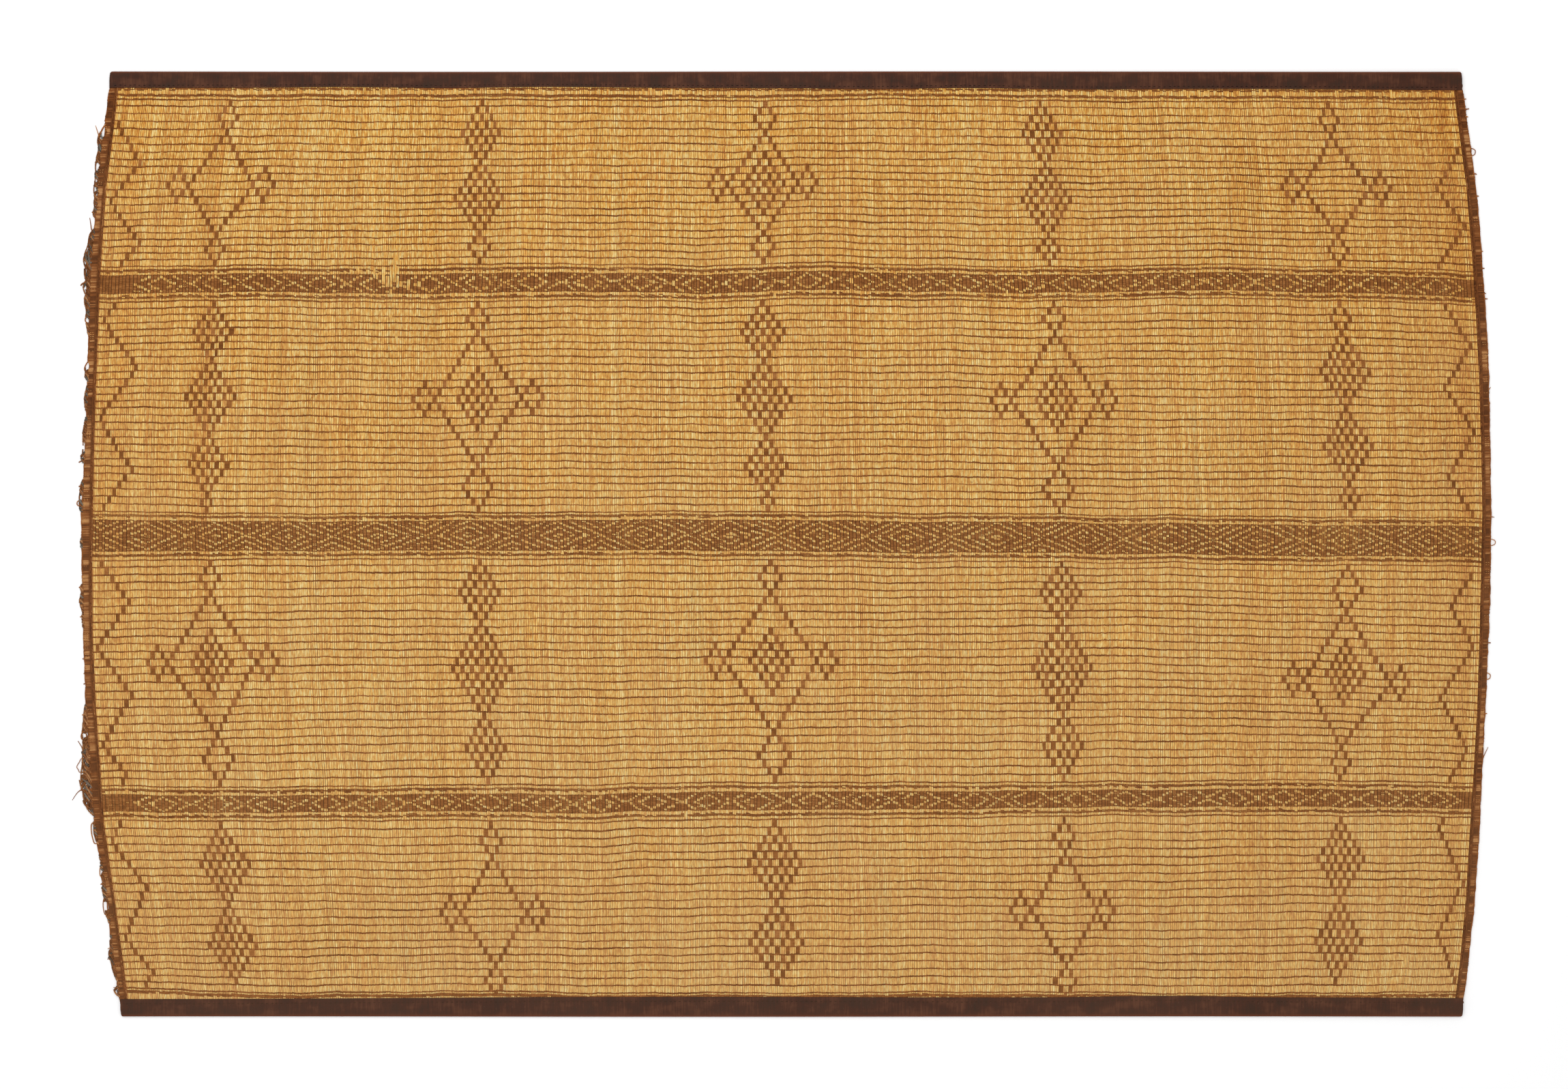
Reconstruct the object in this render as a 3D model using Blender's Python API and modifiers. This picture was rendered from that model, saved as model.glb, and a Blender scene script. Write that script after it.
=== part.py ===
"""A flat reed and leather floor mat, as a Blender script. Metres, +Z up.

The reeds run along Y and the leather thongs that tie them run along X. The mat
lies on the plane z = 0, and the origin is the middle of its underside. It has
five pieces: the woven field, a folded leather binding over each end of the
reeds, and a leather-wrapped selvedge with knotted thong ends down each side.
"""

import math
import random

import bmesh
import bpy

# Driving dimensions
MAT_DEPTH = 1.830  # along the reeds, over both bindings
REED_THICKNESS = 0.0034
CLEARANCE = 0.0003  # between neighbouring pieces

# The seams where the reeds meet the wrapped selvedges, and the mat's edges. The sides bow outwards.
SIDES = (
    {"y": -0.915, "left_edge": -1.2845, "left_seam": -1.2680, "right_seam": 1.2931, "right_edge": 1.3109},
    {"y": -0.783, "left_edge": -1.3043, "left_seam": -1.2854, "right_seam": 1.3106, "right_edge": 1.3267},
    {"y": -0.664, "left_edge": -1.3175, "left_seam": -1.3016, "right_seam": 1.3203, "right_edge": 1.3380},
    {"y": -0.542, "left_edge": -1.3386, "left_seam": -1.3188, "right_seam": 1.3274, "right_edge": 1.3462},
    {"y": -0.413, "left_edge": -1.3485, "left_seam": -1.3270, "right_seam": 1.3357, "right_edge": 1.3524},
    {"y": -0.265, "left_edge": -1.3571, "left_seam": -1.3382, "right_seam": 1.3433, "right_edge": 1.3598},
    {"y": -0.096, "left_edge": -1.3617, "left_seam": -1.3419, "right_seam": 1.3468, "right_edge": 1.3662},
    {"y": 0.050, "left_edge": -1.3637, "left_seam": -1.3406, "right_seam": 1.3509, "right_edge": 1.3681},
    {"y": 0.216, "left_edge": -1.3554, "left_seam": -1.3376, "right_seam": 1.3477, "right_edge": 1.3657},
    {"y": 0.382, "left_edge": -1.3503, "left_seam": -1.3314, "right_seam": 1.3419, "right_edge": 1.3616},
    {"y": 0.525, "left_edge": -1.3472, "left_seam": -1.3261, "right_seam": 1.3333, "right_edge": 1.3525},
    {"y": 0.641, "left_edge": -1.3363, "left_seam": -1.3191, "right_seam": 1.3245, "right_edge": 1.3438},
    {"y": 0.750, "left_edge": -1.3294, "left_seam": -1.3083, "right_seam": 1.3137, "right_edge": 1.3314},
    {"y": 0.842, "left_edge": -1.3146, "left_seam": -1.2953, "right_seam": 1.2997, "right_edge": 1.3186},
    {"y": 0.915, "left_edge": -1.3063, "left_seam": -1.2878, "right_seam": 1.2911, "right_edge": 1.3089},
)

# Where leather covers the reeds the field is thicker. The narrow cords flank the bands.
BAND_RELIEF = 0.0007
CORD_RELIEF = 0.0005
RELIEF_SLOPE = 0.0012
RAISED = (
    {"name": "top cord", "y": 0.8700, "half_width": 0.0022, "relief": CORD_RELIEF},
    {"name": "upper band, upper cord", "y": 0.5313, "half_width": 0.0026, "relief": CORD_RELIEF},
    {"name": "upper band", "y": 0.5040, "half_width": 0.0190, "relief": BAND_RELIEF},
    {"name": "upper band, lower cord", "y": 0.4762, "half_width": 0.0026, "relief": CORD_RELIEF},
    {"name": "middle band, upper cord", "y": 0.0476, "half_width": 0.0026, "relief": CORD_RELIEF},
    {"name": "middle band", "y": 0.0106, "half_width": 0.0291, "relief": BAND_RELIEF},
    {"name": "middle band, lower cord", "y": -0.0269, "half_width": 0.0026, "relief": CORD_RELIEF},
    {"name": "lower band, upper cord", "y": -0.4722, "half_width": 0.0026, "relief": CORD_RELIEF},
    {"name": "lower band", "y": -0.4982, "half_width": 0.0178, "relief": BAND_RELIEF},
    {"name": "lower band, lower cord", "y": -0.5237, "half_width": 0.0026, "relief": CORD_RELIEF},
)

# The plain panels between the bands. Each has its rows of thongs, and a row close to its edges.
PANELS = (
    {"upper_edge": 0.8592, "first_row": 0.8460, "last_row": 0.5501, "rows": 22, "lower_edge": 0.5369},
    {"upper_edge": 0.4676, "first_row": 0.4577, "last_row": 0.0707, "rows": 28, "lower_edge": 0.0575},
    {"upper_edge": -0.0350, "first_row": -0.0462, "last_row": -0.4471, "rows": 28, "lower_edge": -0.4629},
    {"upper_edge": -0.5343, "first_row": -0.5488, "last_row": -0.8552, "rows": 21, "lower_edge": -0.8697},
)
THONG_RELIEF = 0.0006

# Bindings: one strip of leather folded over the ends of the reeds
LEATHER = 0.0012
FOLD_RADIUS = REED_THICKNESS / 2 + CLEARANCE + LEATHER / 2
SEAT = LEATHER + CLEARANCE  # the sheet's height inside a binding
SEAT_RUN = 0.060  # over which the sheet rises from the floor to its seat
BINDINGS = (
    {"node": "binding_top", "side": 1, "width": 0.0350, "wave": 0.0016, "phase": 0.6},
    {"node": "binding_bottom", "side": -1, "width": 0.0385, "wave": 0.0013, "phase": 2.1},
)
BINDING_WAVES = 3.5  # along the whole mat
FOLD_STEPS = 6
CORNER_RADIUS = 0.005

# Selvedges: the outermost reeds, wrapped in leather, with the knotted ends of the thongs along them
SELVEDGE_THICKNESS = 0.0042
KNOT_PITCH = 0.0148
KNOT_WIDTH = 0.0036
LOCK_TIP = {"width": 0.0012, "thickness": 0.0012}
SELVEDGES = (
    {"name": "left", "side": -1, "every": 1, "least": 0.0010, "spread": 0.0035, "seed": 4},
    {"name": "right", "side": 1, "every": 3, "least": 0.0012, "spread": 0.0030, "seed": 9},
)
# Where the thong ends of the left selvedge are plaited into a mass outside it
CLUMPS = (
    {"y": 0.558, "reach": 0.0110, "half_length": 0.070},
    {"y": 0.472, "reach": 0.0060, "half_length": 0.035},
    {"y": 0.274, "reach": 0.0055, "half_length": 0.030},
    {"y": 0.208, "reach": 0.0050, "half_length": 0.035},
    {"y": 0.096, "reach": 0.0070, "half_length": 0.045},
    {"y": -0.347, "reach": 0.0080, "half_length": 0.035},
    {"y": -0.430, "reach": 0.0175, "half_length": 0.105},
    {"y": -0.551, "reach": 0.0040, "half_length": 0.030},
)
# The thong ends of the left selvedge that hang loose
LOOSE_ENDS = (
    {"y": 0.792, "reach": 0.0120, "rise": 0.008},
    {"y": 0.632, "reach": 0.0100, "rise": 0.009},
    {"y": 0.159, "reach": 0.0080, "rise": -0.002},
    {"y": -0.381, "reach": 0.0070, "rise": 0.009},
    {"y": -0.478, "reach": 0.0130, "rise": -0.009},
    {"y": -0.666, "reach": 0.0090, "rise": 0.006},
    {"y": -0.785, "reach": 0.0060, "rise": 0.005},
    {"y": -0.859, "reach": 0.0070, "rise": 0.001},
)
LONGEST_RISE = max(abs(row["rise"]) for row in LOOSE_ENDS)

FIELD_COLUMNS = 5
FIELD_STEP = 0.120
BINDING_COLUMNS = 28
LEAST_STEP = 0.0004  # levels closer than this are one

COLOURS = {
    "reed": {"colour": (0.72, 0.50, 0.18), "roughness": 0.55},
    "thong leather": {"colour": (0.19, 0.085, 0.035), "roughness": 0.65},
    "binding leather": {"colour": (0.060, 0.024, 0.014), "roughness": 0.50},
}


def clear_scene():
    for obj in list(bpy.data.objects):
        bpy.data.objects.remove(obj)


def material(name):
    made = bpy.data.materials.get(name)
    if made:
        return made
    made = bpy.data.materials.new(name)
    made.use_nodes = True
    shader = made.node_tree.nodes["Principled BSDF"]
    shader.inputs["Base Color"].default_value = (*COLOURS[name]["colour"], 1)
    shader.inputs["Roughness"].default_value = COLOURS[name]["roughness"]
    shader.inputs["Metallic"].default_value = 0
    return made


def add_object(name, bm, material_name, collection):
    """Turns a bmesh into a named object with its faces pointing outwards."""
    bmesh.ops.recalc_face_normals(bm, faces=bm.faces[:])
    mesh = bpy.data.meshes.new(name)
    bm.to_mesh(mesh)
    bm.free()
    mesh.materials.append(material(material_name))
    obj = bpy.data.objects.new(name, mesh)
    collection.objects.link(obj)
    return obj


def smooth_step(t):
    t = min(max(t, 0), 1)
    return t * t * (3 - 2 * t)


def along(y, column):
    """The X of a seam or an edge at height y, on a smooth curve through the rows of SIDES."""
    last = len(SIDES) - 1
    i = 0
    while i < last - 1 and SIDES[i + 1]["y"] < y:
        i += 1
    rows = [SIDES[min(max(k, 0), last)] for k in (i - 1, i, i + 1, i + 2)]
    span = rows[2]["y"] - rows[1]["y"]
    t = (y - rows[1]["y"]) / span

    def slope(a, b):
        return (b[column] - a[column]) / (b["y"] - a["y"]) * span

    start = slope(rows[0], rows[2])
    end = slope(rows[1], rows[3])
    a, b = rows[1][column], rows[2][column]
    return (
        (2 * t**3 - 3 * t**2 + 1) * a
        + (t**3 - 2 * t**2 + t) * start
        + (3 * t**2 - 2 * t**3) * b
        + (t**3 - t**2) * end
    )


def seat_start():
    """The distance from the mat's middle at which both bindings have begun and the sheet is on its seat."""
    return MAT_DEPTH / 2 - max(b["width"] + b["wave"] for b in BINDINGS)


def lift(y):
    """How far the sheet's underside is above the floor: on it, but for the ends in the bindings."""
    return SEAT * smooth_step((abs(y) - seat_start() + SEAT_RUN) / SEAT_RUN)


def ribs():
    """Everything that is raised on the field: the bands, the cords and each row of thongs."""
    rows = list(RAISED)
    for panel in PANELS:
        first, last = panel["first_row"], panel["last_row"]
        heights = [first + (last - first) * k / (panel["rows"] - 1) for k in range(panel["rows"])]
        for y in (panel["upper_edge"], *heights, panel["lower_edge"]):
            rows.append({"name": "thong", "y": y, "half_width": 0, "relief": THONG_RELIEF})
    return rows


def relief(y, rows):
    """The extra thickness where leather covers the reeds."""
    found = 0
    for row in rows:
        past_edge = abs(y - row["y"]) - row["half_width"]
        found = max(found, row["relief"] * (1 - smooth_step(past_edge / RELIEF_SLOPE)))
    return found


def even_levels(low, high, step):
    count = max(1, round((high - low) / step))
    return [low + (high - low) * k / count for k in range(count + 1)]


def merged(levels):
    """The levels in order, without any that all but repeats the one before."""
    kept = []
    for y in sorted(levels):
        if not kept or y - kept[-1] > LEAST_STEP:
            kept.append(y)
    return kept


def slab(levels, columns, place):
    """A closed slab: a grid at the given levels, and the same grid above it.

    place(level, share across, is top) gives each corner.
    """
    bm = bmesh.new()
    rows = len(levels) - 1
    bmesh.ops.create_grid(bm, x_segments=columns, y_segments=rows, size=0.5)
    below = bm.verts[:]
    raised = bmesh.ops.extrude_face_region(bm, geom=bm.faces[:])["geom"]
    above = [item for item in raised if isinstance(item, bmesh.types.BMVert)]
    for corners, is_top in ((below, False), (above, True)):
        for corner in corners:
            level = levels[round((corner.co.y + 0.5) * rows)]
            corner.co = place(level, corner.co.x + 0.5, is_top)
    return bm


def field_end():
    """The Y at which the reeds end, where the fold of a binding begins."""
    return MAT_DEPTH / 2 - LEATHER / 2 - FOLD_RADIUS


def build_field(collection):
    """The woven sheet of reeds and thongs, with its bands, cords and rows of thongs raised."""
    end = field_end()
    rows = ribs()
    levels = even_levels(-end, end, FIELD_STEP)
    for side in (-1, 1):
        levels += [side * (seat_start() - SEAT_RUN * share) for share in (0, 0.25, 0.5, 0.75, 1)]
    for row in rows:
        crest, foot = row["half_width"], row["half_width"] + RELIEF_SLOPE
        levels += [row["y"] + offset for offset in (-foot, -crest, crest, foot)]

    def place(y, across, is_top):
        left = along(y, "left_seam") + CLEARANCE / 2
        right = along(y, "right_seam") - CLEARANCE / 2
        z = lift(y) + (REED_THICKNESS + relief(y, rows) if is_top else 0)
        return (left + (right - left) * across, y, z)

    bm = slab(merged(levels), FIELD_COLUMNS, place)
    return add_object("reed_field", bm, "reed", collection)


def binding_profile(width):
    """The middle line of the folded leather: the leg under the sheet, the fold, and the leg over it.

    Each point is (distance in from the fold, height, share of the way to the inner edge).
    """
    straight = width - FOLD_RADIUS - LEATHER / 2
    low = LEATHER / 2
    shares = (0, CORNER_RADIUS / straight, 0.5, 1)
    profile = [(FOLD_RADIUS + straight * share, low, share) for share in reversed(shares)]
    for k in range(1, FOLD_STEPS):
        angle = math.pi * k / FOLD_STEPS
        inward = FOLD_RADIUS * (1 - math.sin(angle))
        profile.append((inward, low + FOLD_RADIUS * (1 - math.cos(angle)), 0))
    high = low + 2 * FOLD_RADIUS
    profile += [(FOLD_RADIUS + straight * share, high, share) for share in shares]
    return profile


def corner_inset(inward):
    """How far a rounded corner of a binding stands back from its square end, at this distance in from the fold."""
    short = max(CORNER_RADIUS - inward, 0)
    return CORNER_RADIUS - math.sqrt(CORNER_RADIUS**2 - short**2)


def build_binding(row, collection):
    """A leather strip folded over the reed ends and both selvedges, with a hand-cut, slightly wavy inner edge."""
    profile = binding_profile(row["width"])
    outer_line = MAT_DEPTH / 2 - LEATHER / 2
    bm = bmesh.new()
    last = len(profile) - 1
    bmesh.ops.create_grid(bm, x_segments=BINDING_COLUMNS, y_segments=last, size=0.5)
    for corner in bm.verts:
        across = corner.co.x + 0.5
        inward, z, share = profile[round((corner.co.y + 0.5) * last)]
        wave = math.sin(math.tau * BINDING_WAVES * across + row["phase"])
        y = row["side"] * (outer_line - inward - share * row["wave"] * wave)
        left = along(y, "left_edge") + corner_inset(inward)
        right = along(y, "right_edge") - corner_inset(inward)
        corner.co = (left + (right - left) * across, y, z)
    obj = add_object(row["node"], bm, "binding leather", collection)
    shell = obj.modifiers.new("leather", "SOLIDIFY")
    shell.thickness = LEATHER
    shell.offset = 0
    shell.use_even_offset = True
    obj.data.shade_smooth()
    obj.data.set_sharp_from_angle(angle=math.radians(50))
    return obj


def knot_rows(row):
    """The height of each knotted thong end of a selvedge, clear of both bindings."""
    reach = seat_start() - KNOT_WIDTH - LONGEST_RISE
    count = int(2 * reach / KNOT_PITCH)
    return [(k - count / 2) * KNOT_PITCH for k in range(0, count + 1, row["every"])]


def clump_reach(row, y):
    """How far the plaited mass stands out past the edge of the left selvedge."""
    if row["side"] > 0:
        return 0
    return max(c["reach"] * (1 - smooth_step(abs(y - c["y"]) / c["half_length"])) for c in CLUMPS)


def lock_run(row, y, chance):
    """How far a thong end reaches out, and how far it rises up the mat on the way."""
    loose = [end for end in LOOSE_ENDS if abs(end["y"] - y) <= KNOT_PITCH / 2]
    if row["side"] < 0 and loose:
        return loose[0]["reach"], loose[0]["rise"]
    reach = row["least"] + row["spread"] * chance.random()
    return reach, -reach / 4


def pull_out_lock(bm, face, side, reach, rise):
    """Draws a face of the selvedge's outer wall out into a thong end, which lies on the floor and tapers."""
    root = face.calc_center_median()
    for share in (0.5, 1):
        face = bmesh.ops.extrude_discrete_faces(bm, faces=[face])["faces"][0]
        width = KNOT_WIDTH + (LOCK_TIP["width"] - KNOT_WIDTH) * share
        thickness = SELVEDGE_THICKNESS + (LOCK_TIP["thickness"] - SELVEDGE_THICKNESS) * share
        centre = face.calc_center_median()
        for v in face.verts:
            is_upper = v.co.y > centre.y
            is_high = v.co.z > centre.z
            v.co.x = root.x + side * reach * share
            v.co.y = root.y + rise * share**2 + (width if is_upper else -width) / 2
            v.co.z = thickness if is_high else 0


def build_selvedge(row, collection):
    """The wrapped edge of the mat: a strip beside the seam, and the knotted ends of the thongs along it."""
    rows = knot_rows(row)
    end = field_end()
    knots = [y + offset for y in rows for offset in (-KNOT_WIDTH / 2, KNOT_WIDTH / 2)]
    ends = [side * y for side in (-1, 1) for y in (seat_start(), end)]
    levels = merged(knots + ends)

    def place(y, across, is_top):
        outwards = across if row["side"] > 0 else 1 - across
        seam = along(y, row["name"] + "_seam") + row["side"] * CLEARANCE / 2
        edge = along(y, row["name"] + "_edge") + row["side"] * clump_reach(row, y)
        full = 1 - lift(y) / SEAT
        thickness = REED_THICKNESS + (SELVEDGE_THICKNESS - REED_THICKNESS) * full
        return (seam + (edge - seam) * outwards, y, lift(y) + (thickness if is_top else 0))

    bm = slab(levels, 1, place)
    bmesh.ops.recalc_face_normals(bm, faces=bm.faces[:])
    chance = random.Random(row["seed"])
    for y in rows:
        knot = [f for f in bm.faces if abs(f.calc_center_median().y - y) < KNOT_WIDTH / 4]
        outermost = max(knot, key=lambda f: f.calc_center_median().x * row["side"])
        reach, rise = lock_run(row, y, chance)
        pull_out_lock(bm, outermost, row["side"], reach, rise)
    return add_object("selvedge_" + row["name"], bm, "thong leather", collection)


def main():
    clear_scene()
    mat = bpy.data.collections.new("reed and leather mat")
    bpy.context.scene.collection.children.link(mat)
    build_field(mat)
    for row in BINDINGS:
        build_binding(row, mat)
    for row in SELVEDGES:
        build_selvedge(row, mat)


main()
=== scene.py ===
import math

import bpy
import numpy as np
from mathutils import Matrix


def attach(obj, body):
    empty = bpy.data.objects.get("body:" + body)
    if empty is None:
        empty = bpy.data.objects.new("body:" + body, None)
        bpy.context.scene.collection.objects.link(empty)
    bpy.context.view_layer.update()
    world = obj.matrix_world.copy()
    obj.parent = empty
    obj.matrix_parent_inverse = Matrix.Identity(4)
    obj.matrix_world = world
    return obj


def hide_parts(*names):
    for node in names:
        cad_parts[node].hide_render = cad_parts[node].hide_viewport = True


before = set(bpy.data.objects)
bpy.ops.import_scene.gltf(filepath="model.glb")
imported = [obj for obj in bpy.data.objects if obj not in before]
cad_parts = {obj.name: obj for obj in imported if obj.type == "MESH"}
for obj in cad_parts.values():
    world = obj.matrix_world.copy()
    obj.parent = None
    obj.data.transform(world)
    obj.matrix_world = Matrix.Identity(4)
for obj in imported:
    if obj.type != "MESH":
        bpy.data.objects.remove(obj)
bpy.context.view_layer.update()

# The mat lies flat, seen from above: x runs across the reeds, y up the mat, z off the floor. Metres.
# The seams between reeds and wrapped sides, and the outer edges. The sides bow outwards.
matSides = {
    "y": (-0.915, -0.783, -0.664, -0.542, -0.413, -0.265, -0.096, 0.050,
          0.216, 0.382, 0.525, 0.641, 0.750, 0.842, 0.915),
    "leftEdge": (-1.2845, -1.3043, -1.3175, -1.3386, -1.3485, -1.3571, -1.3617, -1.3637,
                 -1.3554, -1.3503, -1.3472, -1.3363, -1.3294, -1.3146, -1.3063),
    "leftSeam": (-1.2680, -1.2854, -1.3016, -1.3188, -1.3270, -1.3382, -1.3419, -1.3406,
                 -1.3376, -1.3314, -1.3261, -1.3191, -1.3083, -1.2953, -1.2878),
    "rightSeam": (1.2931, 1.3106, 1.3203, 1.3274, 1.3357, 1.3433, 1.3468, 1.3509,
                  1.3477, 1.3419, 1.3333, 1.3245, 1.3137, 1.2997, 1.2911),
    "rightEdge": (1.3109, 1.3267, 1.3380, 1.3462, 1.3524, 1.3598, 1.3662, 1.3681,
                  1.3657, 1.3616, 1.3525, 1.3438, 1.3314, 1.3186, 1.3089),
}
sideSigns = (("left", -1), ("right", 1))
fieldLift = {"start": 0.8152, "run": 0.060, "rise": 0.0015}    # the field rises towards the bindings that hold it

# The reeds, and where the five motif axes run: as shares of the way across, from the bottom up.
reedField = {
    "reeds": 840,
    "leastWidth": 0.62,
    "mostWidth": 1.38,
    "crown": 0.0033,
    "underside": 0.0005,
    "end": 0.9118,
    "seed": 11,
    "levels": (-0.9118, -0.878, -0.8486, -0.814, -0.69, -0.5435, -0.455, -0.32, -0.18, -0.0416,
               0.0641, 0.20, 0.33, 0.4629, 0.5435, 0.69, 0.814, 0.8526, 0.878, 0.9118),
    "swayFade": 12,
    "sways": ((0.0005, 9, 7, 0), (0.0004, 23, -17, 1)),     # size, radians a metre up, reeds a radian across, phase
    "axisReeds": (0, 70, 232, 408, 584, 758, 840),
    "axisY": (-0.8486, -0.5435, -0.4550, -0.0416, 0.0641, 0.4629, 0.5435, 0.8526),
    "axisShares": (
        (0.0827, 0.2779, 0.4891, 0.7061, 0.9080),
        (0.0852, 0.2832, 0.4907, 0.7028, 0.9050),
        (0.0868, 0.2821, 0.4915, 0.7017, 0.9025),
        (0.0847, 0.2792, 0.4881, 0.6978, 0.9038),
        (0.0819, 0.2772, 0.4858, 0.6954, 0.9045),
        (0.0831, 0.2754, 0.4820, 0.6936, 0.9012),
        (0.0826, 0.2760, 0.4828, 0.6916, 0.9024),
        (0.0851, 0.2731, 0.4845, 0.6898, 0.9042),
    ),
}

# Heights of the thong rows in millimetres, at nine places across. A panel's rows are evenly spaced between.
rowPlaces = (-1.302, -0.992, -0.675, -0.384, -0.081, 0.236, 0.593, 0.950, 1.313)
panels = (
    {"rows": 24, "firstGap": 0.85, "heights": {
        0: (860.9, 859.3, 860.5, 859.3, 858.7, 861.4, 857.5, 856.7, 853.6),
        8: (746.1, 745.5, 744.3, 747.4, 744.9, 746.8, 740.6, 740.0, 736.7),
        15: (640.7, 646.7, 648.6, 650.0, 648.9, 650.2, 645.3, 644.8, 635.7),
        23: (536.5, 539.5, 539.8, 541.5, 540.9, 540.9, 537.8, 538.2, 527.5)}},
    {"rows": 30, "firstGap": 0.95, "heights": {
        0: (468.2, 473.1, 467.0, 472.1, 471.0, 473.6, 473.0, 473.4, 461.9),
        8: (360.8, 363.5, 360.1, 362.4, 361.5, 360.7, 359.0, 357.1, 348.7),
        15: (263.5, 263.8, 259.3, 262.2, 259.5, 259.3, 257.2, 254.7, 252.5),
        22: (165.8, 159.3, 158.5, 159.7, 157.6, 160.1, 155.2, 154.1, 151.0),
        29: (64.7, 58.2, 60.8, 61.7, 63.3, 61.2, 56.1, 53.0, 50.1)}},
    {"rows": 30, "firstGap": 0.82, "heights": {
        0: (-30.8, -30.1, -28.0, -28.9, -29.7, -32.4, -35.3, -39.8, -42.5),
        8: (-151.0, -145.7, -144.8, -144.6, -146.7, -144.4, -142.5, -149.4, -160.9),
        15: (-252.8, -250.3, -249.2, -249.5, -248.7, -247.9, -246.1, -254.4, -266.4),
        22: (-366.4, -357.8, -354.5, -358.7, -356.2, -353.0, -349.6, -354.0, -363.0),
        29: (-468.0, -471.3, -465.3, -466.4, -461.2, -461.2, -460.7, -456.5, -463.1)}},
    {"rows": 23, "firstGap": 1.0, "heights": {
        0: (-534.5, -537.0, -533.1, -538.8, -532.2, -530.4, -526.5, -524.8, -528.8),
        8: (-657.6, -660.9, -660.7, -661.9, -655.2, -653.1, -654.7, -648.2, -649.2),
        15: (-770.6, -769.9, -763.8, -769.1, -763.2, -762.9, -763.7, -761.6, -762.8),
        22: (-859.4, -869.4, -863.8, -869.4, -868.6, -867.2, -867.9, -869.7, -866.7)}},
)


def curveAt(stations, values, at):
    # a smooth curve through the values, read at any places
    stations, values = np.asarray(stations, float), np.asarray(values, float)
    at = np.clip(at, stations[0], stations[-1])
    i = np.clip(np.searchsorted(stations, at, side="right") - 1, 0, len(stations) - 2)
    slopes = np.gradient(values, stations)
    gap = stations[i + 1] - stations[i]
    t = (at - stations[i]) / gap
    return ((2 * t**3 - 3 * t**2 + 1) * values[i] + (t**3 - 2 * t**2 + t) * gap * slopes[i]
            + (3 * t**2 - 2 * t**3) * values[i + 1] + (t**3 - t**2) * gap * slopes[i + 1])


def softSpot(x, y, px, py, wide, tall):
    # 1 in the middle of a spot, fading outwards
    return np.exp(-((x - px) / wide) ** 2 - ((y - py) / tall) ** 2)


def sideAt(name, y):
    return curveAt(matSides["y"], matSides[name], y)


def liftAt(y):
    t = np.clip((np.abs(y) - fieldLift["start"]) / fieldLift["run"], 0, 1)
    return fieldLift["rise"] * t * t * (3 - 2 * t)


widthChance = np.random.default_rng(reedField["seed"])
reedMarks = np.concatenate(((0,), np.cumsum(
    widthChance.uniform(reedField["leastWidth"], reedField["mostWidth"], reedField["reeds"]))))
axisMarks = reedMarks[list(reedField["axisReeds"])]
axisTable = np.array([(0, *row, 1) for row in reedField["axisShares"]])
boundaries = np.arange(reedField["reeds"] + 1)
pairs = np.arange(reedField["reeds"] // 2)


def acrossAt(reed, y):
    # x of a place counted in reeds from the left seam
    reed, y = np.broadcast_arrays(np.asarray(reed, float), np.asarray(y, float))
    shape = y.shape
    reed, y = reed.ravel(), y.ravel()
    marks = np.interp(reed, boundaries, reedMarks)
    span = np.clip(np.searchsorted(reedField["axisReeds"], reed, side="right") - 1, 0, len(axisMarks) - 2)
    part = (marks - axisMarks[span]) / (axisMarks[span + 1] - axisMarks[span])
    shares = np.array([np.interp(y, reedField["axisY"], column) for column in axisTable.T])
    each = np.arange(len(y))
    share = shares[span, each] * (1 - part) + shares[span + 1, each] * part
    left, right = sideAt("leftSeam", y), sideAt("rightSeam", y)
    inner = np.minimum(1, np.minimum(reed, reedField["reeds"] - reed) / reedField["swayFade"])
    sway = sum(size * np.sin(up * y + reed / across + phase) for size, up, across, phase in reedField["sways"])
    return (left + share * (right - left) + sway * inner).reshape(shape)


# The rows waver, and each wavers much as the row above it does. The waves are listed longest first.
rowWaves = {
    "lengths": (0.71, 0.37, 0.19, 0.105, 0.052, 0.024, 0.013),
    "sizes": (0.00055, 0.00055, 0.00060, 0.00046, 0.00036, 0.00026, 0.00016),
    "drifts": (0.5, 0.6, 0.65, 0.8, 1.2, 3, 3),      # how far a wave moves on from one row to the next
    "ends": (-1.32, 1.33),
    "seed": 23,
}
waveChance = np.random.default_rng(rowWaves["seed"])
waveCount = len(rowWaves["sizes"])
wavePhases = waveChance.uniform(0, 2 * math.pi, waveCount) + np.cumsum(
    waveChance.normal(0, 1, (sum(panel["rows"] for panel in panels), waveCount)) * rowWaves["drifts"], axis=0)
pulls = (  # places where the rows are drawn up or down together: x, y, spread across, spread up, millimetres
    (0.05, 0.56, 0.080, 0.20, 4.6), (1.20, 0.46, 0.140, 0.20, 2.4), (0.45, 0.46, 0.080, 0.22, -3.0),
    (0.80, 0.58, 0.120, 0.20, 2.5), (-0.50, 0.52, 0.080, 0.22, 2.4), (-0.16, 0.55, 0.060, 0.14, -2.0),
    (0.25, -0.02, 0.120, 0.22, -1.8), (-0.75, -0.72, 0.080, 0.20, -2.4), (-0.30, -0.62, 0.050, 0.20, 2.8),
    (0.50, -0.32, 0.080, 0.12, -2.6), (0.65, -0.56, 0.060, 0.12, 2.6), (0.75, -0.02, 0.060, 0.12, 2.6),
    (-1.15, -0.66, 0.080, 0.12, 2.0), (0.95, 0.76, 0.060, 0.14, -1.8),
)


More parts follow.
